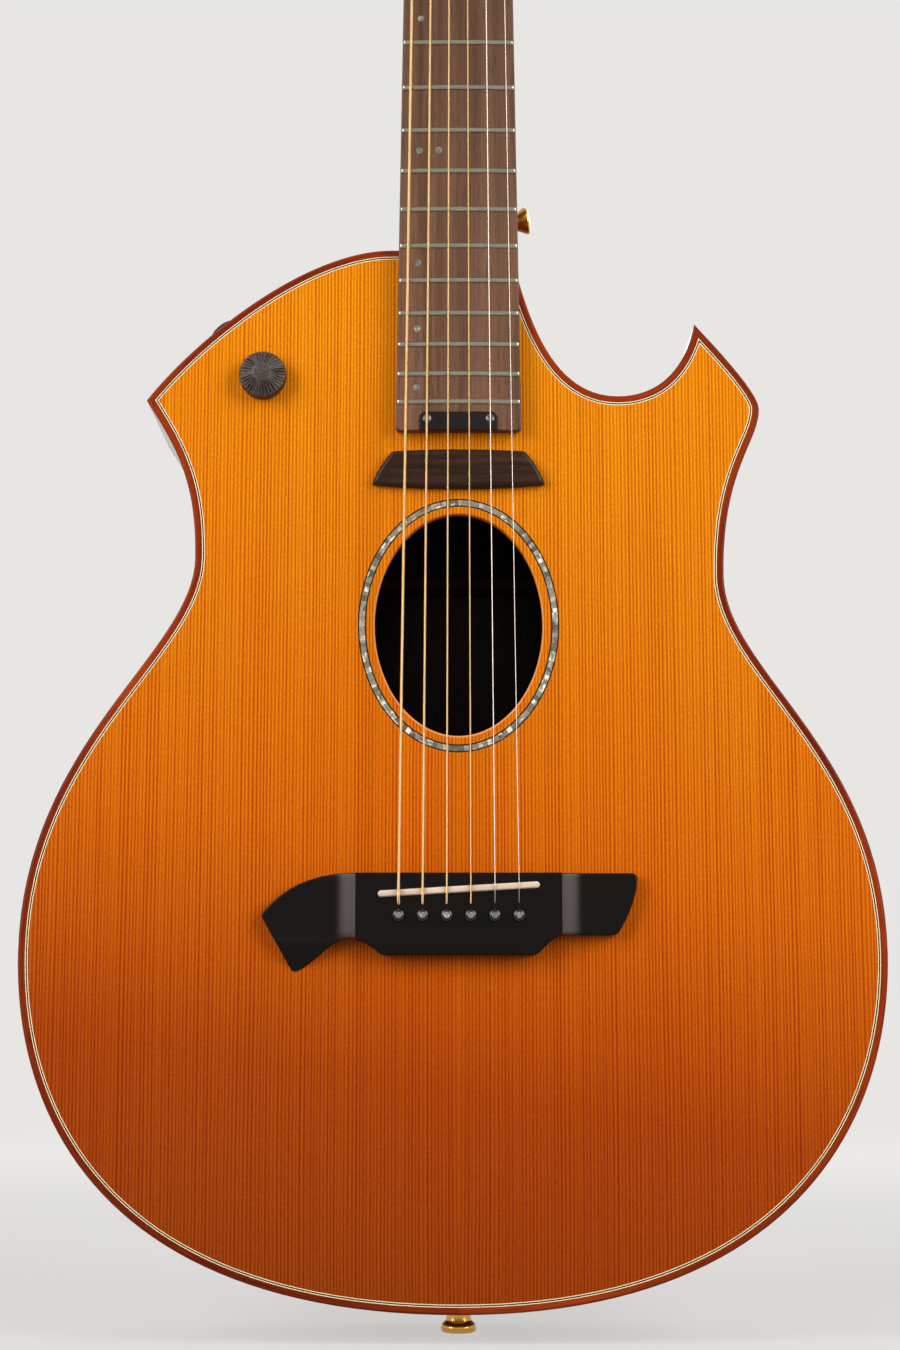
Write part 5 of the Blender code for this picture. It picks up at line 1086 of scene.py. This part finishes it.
def peg_place(number):
    """A post's side, its x and its distance from the nut: 1 to 3 on the treble side, the outer
    strings nearest the nut."""
    side, row = (1, number - 1) if number <= 3 else (-1, 6 - number)
    u = PEG_FIRST + PEG_SPACING * row
    return side, side * (head_half_width(u) - PEG_INSET), u


def pillow(size, centre, power, steps=24):
    """A rounded block: |x/a|^p + |y/b|^p + |z/c|^p = 1 over angles of longitude and latitude."""
    turn = whole_turn(2 * steps)
    lift = np.linspace(-math.pi / 2, math.pi / 2, steps + 1)[:, None]
    level = squarer(np.cos(lift).clip(0), power)
    x, y = level * squarer(np.cos(turn), power), level * squarer(np.sin(turn), power)
    return Stock().grid(size / 2 * spots(x, y, squarer(np.sin(lift), power)) + centre, closed=True)


def waisted(points):
    """Narrows the button next to its shaft by the share 0.28 exp(-((z - 0.0110) / 0.0035)^2)."""
    return points * spots(1, 1 - 0.28 * np.exp(-(((points[:, 2] - 0.0110) / 0.0035) ** 2)), 1)


button = lathe(BUTTON_SHAFT_PROFILE, 28).take(pillow(BUTTON_SIZE, (0, 0, BUTTON_Z), 2.6), waisted)
for number in STRINGS:
    side, x, u = peg_place(number)
    case_x = x - side * CASE_SHIFT
    stock = pillow(CASE_SIZE, (case_x, u, WORM_Z), 7.0).take(lathe(WASHER_PROFILE, 36, (x, u, 0)))
    stock.take(
        lathe(CASE_SCREW_PROFILE, 20, (case_x, u + 0.0085, 0)),
        lambda points: points * [1, 1, -1] + [0, 0, CASE_BOTTOM + 0.0004])
    make(f"machine_case_{number}", stock, gold, f"tuner_housing_{number}", frame_of=from_head, sharp=40)
    post = lathe(POST_PROFILE, 32, (x, u, 0))
    make(f"string_post_{number}", post, gold, f"tuner_post_{number}", f"post_{number}", frame_of=from_head)
    wall_x = case_x + side * CASE_SIZE[0] / 2
    stock = Stock().take(
        button, lambda points: spots(wall_x + side * points[:, 2], u + points[:, 1], WORM_Z + points[:, 0]))
    make(
        f"turning_button_{number}", stock, gold, f"tuner_button_{number}", f"button_{number}",
        frame_of=from_head, sharp=50)


# --- Strings -----------------------------------------------------------------------------------------
# Two plain steel strings and four wound with bronze wire round a steel core. Each runs from its ball
# end under the bridge, up beside its pin, over the saddle and the nut, to its turns round the post.
STRING_DIAMETERS = (0.00030, 0.00041, 0.00061, 0.00081, 0.00107, 0.00135)
STRING_TURNS = (3.0, 3.0, 2.5, 2.5, 2.0, 2.0)
PLAIN_STRINGS = 2
WINDING_PITCH = 0.00030
# where a string starts under the bridge, leaves its hole beside the pin, bends towards the saddle, lies
# flat on a crest, and takes its first turn round the post
STRING_START_Z, STRING_FROM_PIN, HOLE_TOP_Z, BEND_Z = -0.0085, 0.0032, 0.0075, 0.0096
CREST_HALF, FIRST_TURN_Z, TURN_SPACE = 0.0006, 0.0026, 0.0005


def wire(route, radius, sides=10):
    """A round tube along a route: each ring is r (cos t a + sin t b), with a square to the run and to
    a fixed direction that no run comes near, and b square to both."""
    onward = unit(np.gradient(route, axis=0))
    a = unit(np.cross(onward, [0, -0.3, 1.0]))
    b = np.cross(onward, a)
    turn = whole_turn(sides)[:, None]
    table = route[:, None] + radius * (np.cos(turn) * a[:, None] + np.sin(turn) * b[:, None])
    along = np.cumsum(np.linalg.norm(np.diff(route, axis=0), axis=1))
    v = np.concatenate([[0], along, along[-1:]])
    return Stock().grid(table, closed=True, u=np.arange(sides + 1) * 0.001, v=v).fan(table[0]).fan(table[-1])


plain_wire = Finish("plain_steel_wire", "steel", Metallic=1.0, Roughness=0.22)
u, v = plain_wire.run
plain_wire.paint(plain_wire.noise(u * 900, v * 60), colour(188, 174, 165), colour(216, 204, 194))
wound_wire = Finish("bronze_wound_wire", "bronze_winding", Metallic=1.0, Roughness=0.3)
u, v = wound_wire.run
wind = (v * (2 * math.pi / WINDING_PITCH) + u * 600).math("SINE")
tarnish = wound_wire.noise(u * 200, v * 30, detail=3.0)
base = wound_wire.mix(tarnish, colour(230, 182, 112), colour(255, 228, 172))
# The troughs between the wraps are painted darker: painted shade in the grooves.
wound_wire.paint(wind.step(-0.2, -1.0) * 0.35, base, colour(140, 96, 48))
wound_wire.feed("Roughness", tarnish * 0.2 + 0.2)
wound_wire.bump(wind, 0.00004)
for number, diameter, turns in zip(STRINGS, STRING_DIAMETERS, STRING_TURNS):
    lift = diameter / 2 + GAP
    x, nut_x = string_x(number, SADDLE_Y), string_x(number, NUT_Y)
    pin_y, saddle_y = PIN_Y + STRING_FROM_PIN + lift, SADDLE_MIDDLE_Y + x * math.tan(SADDLE_TURN)
    crest, nut_z = SADDLE_TOP + lift, NUT_HEIGHT + lift
    bend = np.linspace(0, 1, 5)[1:, None]
    corner, control, rise = np.array([
        [x, pin_y, HOLE_TOP_Z], [x, pin_y + 0.0006, BEND_Z], [x, saddle_y - CREST_HALF, crest]])
    over = corner * (1 - bend) ** 2 + 2 * bend * (1 - bend) * control + bend**2 * rise
    far = np.linspace([x, saddle_y + CREST_HALF, crest], [nut_x, NUT_Y, nut_z], 120)
    leave = np.array([nut_x, HEAD_Y + 0.0005, nut_z])

    side, post_x, post_u = peg_place(number)
    leave_u = (leave[1] - HEAD_Y) * math.cos(HEAD_ANGLE) - nut_z * math.sin(HEAD_ANGLE)
    away_x, away_u = nut_x - post_x, leave_u - post_u
    turn_radius = POST_RADIUS + lift
    start = math.atan2(away_u, away_x) - side * math.acos(turn_radius / math.hypot(away_x, away_u))
    step = np.linspace(0, turns, int(turns * 36))
    angle = start - side * 2 * np.pi * step
    winding = head_to_maker(spots(
        post_x + turn_radius * np.cos(angle), post_u + turn_radius * np.sin(angle),
        FIRST_TURN_Z + lift + (diameter + TURN_SPACE) * step))
    rising = np.linspace([x, pin_y, STRING_START_Z], corner, 8)
    route = np.concatenate([rising, over, far, leave[None], winding])
    finish = plain_wire if number <= PLAIN_STRINGS else wound_wire
    make(f"tuned_string_{number}", wire(route, diameter / 2), finish, f"string_{number}", sharp=70)


# --- Strap button and end pin jack -------------------------------------------------------------------
# A turned brass button, gold-plated, is screwed to the treble cheek of the heel. The output jack goes
# through the tail block and ends in a strap pin of the same finish, bored for the cord's plug.
STRAP_ANGLE = math.radians(10)
STRAP_TIP = (0.0330, -0.0180, 0.4944)
STRAP_PROFILE = (
    (0.0, -0.0004), (0.0014, -0.0004), (0.0018, 0.0), (0.0048, 0.0), (0.0060, -0.0004), (0.0064, -0.0011),
    (0.0061, -0.0023), (0.0048, -0.0044), (0.0039, -0.0066), (0.0037, -0.0090), (0.0040, -0.0108),
    (0.0051, -0.0122), (0.0051, -0.0134), (0.0, -0.0134))
END_PIN_REACH, END_PIN_RADIUS = 0.0125, 0.0078
END_PIN_PROFILE = (
    # the bore of the jack, and then the outside: the radius in metres, and z from the pin's tip
    (0.0, -0.030), (0.0033, -0.030), (0.0033, -0.0004), (0.0037, 0.0),
    *((share * END_PIN_RADIUS, z) for share, z in (
        (0.82, 0.0), (0.94, -0.0004), (1.0, -0.0013), (1.0, -0.0030), (0.94, -0.0040), (0.74, -0.0053),
        (0.70, -0.0070), (0.70, -0.0099), (0.76, -0.0105), (1.02, -0.0109), (1.05, -0.0115), (1.05, -0.0122))),
    (0.0060, -0.0122), (0.0060, -0.040), (0.0, -0.040))


def aimed(origin, axis):
    """Turns a piece drawn along z so that it stands on origin along axis, in the shared frame."""
    axis = unit(np.array(axis))
    across = unit(np.cross([0, 1, 0], axis))
    turned = np.stack([across, np.cross(axis, across), axis])
    return lambda points: np.array(origin) + points @ turned


onto_heel = aimed(STRAP_TIP, (math.cos(STRAP_ANGLE), 0, math.sin(STRAP_ANGLE)))
make("turned_strap_button", lathe(STRAP_PROFILE, 48), gold, "heel_strap_button", frame_of=onto_heel)
end_pin = lathe(END_PIN_PROFILE, 48, (0, 0, END_PIN_REACH))
make("turned_end_pin", end_pin, gold, "end_pin_jack", frame_of=aimed((0, 0, 0), (0, 0, -1)))


# --- Volume knob -------------------------------------------------------------------------------------
# A dark wooden knob on the bass side: a round rim, then a low cone cut with uneven radial flutes up to a
# small flat top, rubbed dull by fingers.
VOLUME_RADIUS, VOLUME_HEIGHT, VOLUME_CUT, VOLUME_FLUTES = 0.0105, 0.0095, 0.00080, 36
VOLUME_PROFILE = (
    # the share of the radius, of the height and of the flutes' depth
    (0.0, 0.03, 0), (0.94, 0.0, 0), (1.0, 0.05, 0), (1.0, 0.46, 0), (0.985, 0.53, 0.1), (0.94, 0.58, 0.55),
    (0.84, 0.66, 1.0), (0.7, 0.77, 1.0), (0.55, 0.88, 0.8), (0.42, 0.965, 0.45), (0.37, 0.99, 0.1),
    (0.33, 1.0, 0), (0.0, 1.0, 0))
SPINDLE_RADIUS = 0.0030
knob_wood = Finish("worn_knob_wood", "ebony", Roughness=0.4, Specular_IOR_Level=0.6)
around, up = knob_wood.run
grain = knob_wood.grain(900, 400, 900, detail=3.0)
rub = knob_wood.grain(420, 420, 420)
uneven = (around * 3).math("SINE") * 0.5
ridge = (around * (VOLUME_FLUTES / 2) + uneven).math("COSINE").math("ABSOLUTE") ** 0.6
fluted = up.step(4.0, 5.0) * up.step(9.6, 8.6)
base = knob_wood.mix(grain.step(0.3, 0.7), colour(24, 14, 11), colour(68, 52, 44))
base = knob_wood.mix(rub.step(0.5, 0.75) * 0.4, base, colour(112, 94, 84))
base = knob_wood.mix(up.step(4.3, 3.3) * 0.8, base, colour(22, 14, 11))
# The grooves between the flutes are painted near-black: painted shade in the cuts.
knob_wood.paint((1 - ridge) * fluted * 0.95, base, colour(10, 6, 5))
knob_wood.feed("Roughness", rub * 0.2 + 0.36)
knob_wood.bump(grain, 0.00006)

turn = whole_turn(VOLUME_FLUTES * 10)
uneven = 1 + 0.35 * np.sin(turn * 5 + 1.3) + 0.25 * np.sin(turn * 11 + 0.4)
flute = np.abs(np.cos(turn * VOLUME_FLUTES / 2 + 0.5 * np.sin(turn * 3))) ** 0.6
radius, height, cut = np.array(VOLUME_PROFILE).T[..., None]
table = spots(
    VOLUME_X + VOLUME_RADIUS * radius * np.cos(turn), VOLUME_Y + VOLUME_RADIUS * radius * np.sin(turn),
    GAP + VOLUME_HEIGHT * height - VOLUME_CUT * cut * uneven * (1 - flute))
stock = Stock().grid(table, closed=True, u=np.append(turn, 2 * np.pi))
spindle = (0.0, 0.004), (SPINDLE_RADIUS, 0.004), (SPINDLE_RADIUS, -0.009), (0.0, -0.009)
stock.take(lathe(spindle, 24, (VOLUME_X, VOLUME_Y, 0)))
make("fluted_volume_knob", stock, knob_wood, "volume_knob", "volume_knob", sharp=60)


# --- Pickup cover ------------------------------------------------------------------------------------
# The magnetic pickup sits under a cover of dark rosewood at the fingerboard's end: two bowed long
# edges, two slanted ends and a broad soft bevel all round.
PICKUP_HALF_AT_HOLE, PICKUP_HALF_AT_BOARD, PICKUP_BELLY, PICKUP_END_BOW = 0.0386, 0.0296, 0.0018, 0.0011
PICKUP_HEIGHT, PICKUP_BEVEL = 0.0041, 0.0024
pickup_wood = Finish("dark_pickup_wood", "ebony", Roughness=0.28, Specular_IOR_Level=0.16)
bands = pickup_wood.grain(14, 300, 420, detail=4.0, roughness=0.65)
fine = pickup_wood.grain(60, 1800, 1800, detail=1.0)
base = pickup_wood.mix(bands.step(0.28, 0.75), colour(34, 17, 11), colour(70, 45, 32))
pickup_wood.paint(fine.step(0.6, 0.7) * 0.5, base, colour(14, 8, 6))
pickup_wood.feed("Roughness", fine * 0.14 + 0.24)
pickup_wood.bump(fine, 0.00004)
share, rise = np.linspace(-1, 1, 25), np.linspace(0, 1, 14)[1:-1]
high = BOARD_END_Y - PICKUP_GAP - PICKUP_BOW
flank = PICKUP_HALF_AT_HOLE + (PICKUP_HALF_AT_BOARD - PICKUP_HALF_AT_HOLE) * rise
flank += PICKUP_END_BOW * 4 * rise * (1 - rise)
plan = np.concatenate([
    np.stack([PICKUP_HALF_AT_HOLE * share, high - PICKUP_DEPTH - PICKUP_BELLY * (1 - share**2)], 1),
    np.stack([flank, high - PICKUP_DEPTH * (1 - rise)], 1),
    np.stack([-PICKUP_HALF_AT_BOARD * share, high + PICKUP_BOW * (1 - share**2)], 1),
    np.stack([-flank[::-1], high - PICKUP_DEPTH * rise], 1)])[::-1]
for _ in range(3):
    onward = np.roll(plan, -1, 0)
    plan = np.stack([plan * 0.75 + onward * 0.25, plan * 0.25 + onward * 0.75], 1).reshape(-1, 2)
cover = relief(plan, lambda x, y: PICKUP_HEIGHT + 0 * x, GAP, PICKUP_BEVEL, 120, 26)
make("wooden_pickup_cover", cover, pickup_wood, "pickup_cover", sharp=60)


# --- Preamp ------------------------------------------------------------------------------------------
# The preamp's black control plate is screwed to the rim of the bass shoulder and bent to it. It has two
# fluted knobs and four small screws.
PANEL_LENGTH, PANEL_THICKNESS, PANEL_ROUND, PANEL_DROP, PANEL_STEPS = 0.060, 0.0016, 0.0012, 0.0008, 40
PANEL_SCREW_PROFILE = (
    (0.0, 0.0002), (0.0005, 0.0002), (0.0006, 0.0005), (0.0013, 0.0005), (0.0016, 0.0), (0.0016, -0.001),
    (0.0, -0.001))
KNOB_RADIUS, KNOB_HEIGHT, KNOB_CUT, KNOB_FLUTES = 0.0065, 0.0060, 0.075, 14
KNOB_PROFILE = (
    (0.0, 0.0, 0), (0.97, 0.0, 0.3), (1.0, 0.06, 1), (1.0, 0.78, 1), (0.96, 0.90, 0.8), (0.86, 0.97, 0.4),
    (0.78, 1.0, 0), (0.66, 0.97, 0), (0.0, 0.95, 0))
columns = np.linspace(-PANEL_LENGTH / 2, PANEL_LENGTH / 2, PANEL_STEPS)
heights = np.linspace(-PREAMP_TOP, -PREAMP_TOP - PREAMP_PANEL_HEIGHT, PANEL_STEPS)
path = np.stack([np.interp(preamp_run + columns, run[:-1], outline[:, axis]) for axis in range(2)], 1)
step = unit(np.gradient(path, axis=0))
normal = np.stack([-step[:, 1], step[:, 0]], 1)
from_end = np.minimum.outer(
    PREAMP_PANEL_HEIGHT / 2 - np.abs(heights - preamp_height), PANEL_LENGTH / 2 - np.abs(columns))
soft = np.sqrt(np.clip(from_end / PANEL_ROUND, 0, 1)) * PANEL_DROP


def panel_at(depth):
    """The plate's face, carried along the rim: the path moved out along its normal by depth."""
    return raised(path + normal * depth[..., None], heights[:, None])


face, foot = panel_at(GAP + PANEL_THICKNESS - PANEL_DROP + soft), panel_at(np.full(soft.shape, 0.0001))
stock = Stock().grid(face).grid(foot).grid(np.stack([rim_of(face), rim_of(foot)]), closed=True)
make("preamp_plate", stock, black_plastic, "preamp_panel", sharp=50)

turn = whole_turn(KNOB_FLUTES * 10)
radius, height, cut = np.array(KNOB_PROFILE).T[..., None]
radius = KNOB_RADIUS * radius * (1 - KNOB_CUT * cut * (0.5 + 0.5 * np.cos(turn * KNOB_FLUTES)) ** 2)
table = spots(
    radius * np.cos(turn), radius * np.sin(turn), GAP + PANEL_THICKNESS + GAP + KNOB_HEIGHT * height)
spindle = (0.0, 0.003), (SPINDLE_RADIUS, 0.003), (SPINDLE_RADIUS, -0.0058), (0.0, -0.0058)
knob = Stock().grid(table, closed=True).take(lathe(spindle, 20))
joints = {joint["name"]: joint for joint in frame["joints"]}
for name in ("preamp_knob_front", "preamp_knob_rear"):
    joint = joints[f"{name}_turn"]
    onto_panel = aimed(joint["pos_m"], joint["axis"])
    make(f"fluted_{name}", knob, black_plastic, name, name, frame_of=onto_panel, sharp=50)
stock = Stock()
for column in (3, -4):
    for row in (3, -4):
        spot = from_face(face[row, column][None])[0]
        stock.take(lathe(PANEL_SCREW_PROFILE, 20), aimed(spot, (normal[column, 0], 0, normal[column, 1])))
make("preamp_screws", stock, steel, frame_of=lambda points: points)


# --- Floor, light and camera -------------------------------------------------------------------------
# A plain pale floor that the guitar stands on, seen only from above, a tall softbox on each side in
# front and one lamp behind, and the camera low in front, looking slightly up along the guitar.
PALE, FLOOR_TONE, NEAR_GLOW = (0.80, 0.79, 0.77, 1), (0.24, 0.237, 0.232, 1), (0.54, 0.535, 0.525, 1)
FLOOR_HALF, NEAR_RADIUS, FAR_RADIUS = 40, 0.5, 2.5
SKY_STRENGTH = 0.25
floor_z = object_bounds()[0][2] - GAP
floor_mesh = bpy.data.meshes.new("floor")
corners = [(x * FLOOR_HALF, y * FLOOR_HALF, floor_z) for x, y in ((-1, -1), (1, -1), (1, 1), (-1, 1))]
floor_mesh.from_pydata(corners, [], [(0, 1, 2, 3)])
floor = bpy.data.objects.new("floor", floor_mesh)
bpy.context.scene.collection.objects.link(floor)


def pale_where_seen(nodes, plain, pale):
    """Shows the shader pale to camera, glossy and transmission rays, and plain to all others."""
    sees = nodes.node("LightPath", output="Is Camera Ray")
    for output in ("Is Glossy Ray", "Is Transmission Ray"):
        sees = sees.math("MAXIMUM", nodes.node("LightPath", output=output))
    return nodes.node("MixShader", _0=sees, _1=plain, _2=pale)


ground = Finish("pale_floor", None, Roughness=0.9, Base_Color=FLOOR_TONE, Specular_IOR_Level=0.0)
x, y, _ = ground.place
far = ((x * x + y * y) ** 0.5).step(NEAR_RADIUS, FAR_RADIUS)
plain = Socket(ground, ground.shader.outputs[0])
glow = ground.node("Emission", Color=ground.mix(far, NEAR_GLOW, PALE))
near = ground.node("AddShader", _0=plain, _1=glow)
seen = ground.node("MixShader", _0=far, _1=near, _2=ground.node("Emission", Color=PALE))
behind = ground.node("NewGeometry", output="Backfacing")
shown = ground.node(
    "MixShader", _0=behind, _1=pale_where_seen(ground, plain, seen), _2=ground.node("BsdfTransparent"))
ground.tree.links.new(shown.output, ground.tree.nodes["Material Output"].inputs["Surface"])
floor_mesh.materials.append(ground.material)

world = bpy.data.worlds.new("studio")
world.use_nodes = True
bpy.context.scene.world = world
studio = Nodes(world.node_tree)
dim = studio.tree.nodes["Background"]
dim.inputs["Color"].default_value, dim.inputs["Strength"].default_value = PALE, SKY_STRENGTH
bright = studio.node("Background", Color=PALE, Strength=1.0)
shown = pale_where_seen(studio, Socket(studio, dim.outputs[0]), bright)
studio.tree.links.new(shown.output, studio.tree.nodes["World Output"].inputs["Surface"])


def lamp(name, place, size, power, aim=(0, 0, 0.50)):
    """An oblong area lamp, width by height, that faces its aim."""
    light = bpy.data.lights.new(name, "AREA")
    light.shape = "RECTANGLE"
    light.size, light.size_y, light.energy = *size, power
    box = bpy.data.objects.new(name, light)
    bpy.context.scene.collection.objects.link(box)
    box.visible_camera = False
    z = unit(np.subtract(place, aim))
    x = unit(np.cross([0, 0, 1], z))
    box.matrix_world = Matrix([*np.stack([x, np.cross(z, x), z, place], 1).tolist(), [0, 0, 0, 1]])


for name, side in (("left_softbox", -1), ("right_softbox", 1)):
    lamp(name, (side * 1.55, -1.15, 1.10), (0.9, 1.7), 36)
lamp("behind", (0.8, 2.4, 1.8), (1.6, 1.6), 22)

TILT = 0.150
view = bpy.data.cameras.new("photograph")
view.sensor_fit = "VERTICAL"
view.sensor_height = 36.0
view.lens = 64.0
view.clip_end = 100
camera = bpy.data.objects.new("photograph", view)
bpy.context.scene.collection.objects.link(camera)
camera.location = (-0.0038, -1.0958, 0.1166)
camera.rotation_euler = (math.pi / 2 + TILT, 0, 0)
bpy.context.scene.camera = camera
bpy.context.scene.view_settings.view_transform = "Standard"
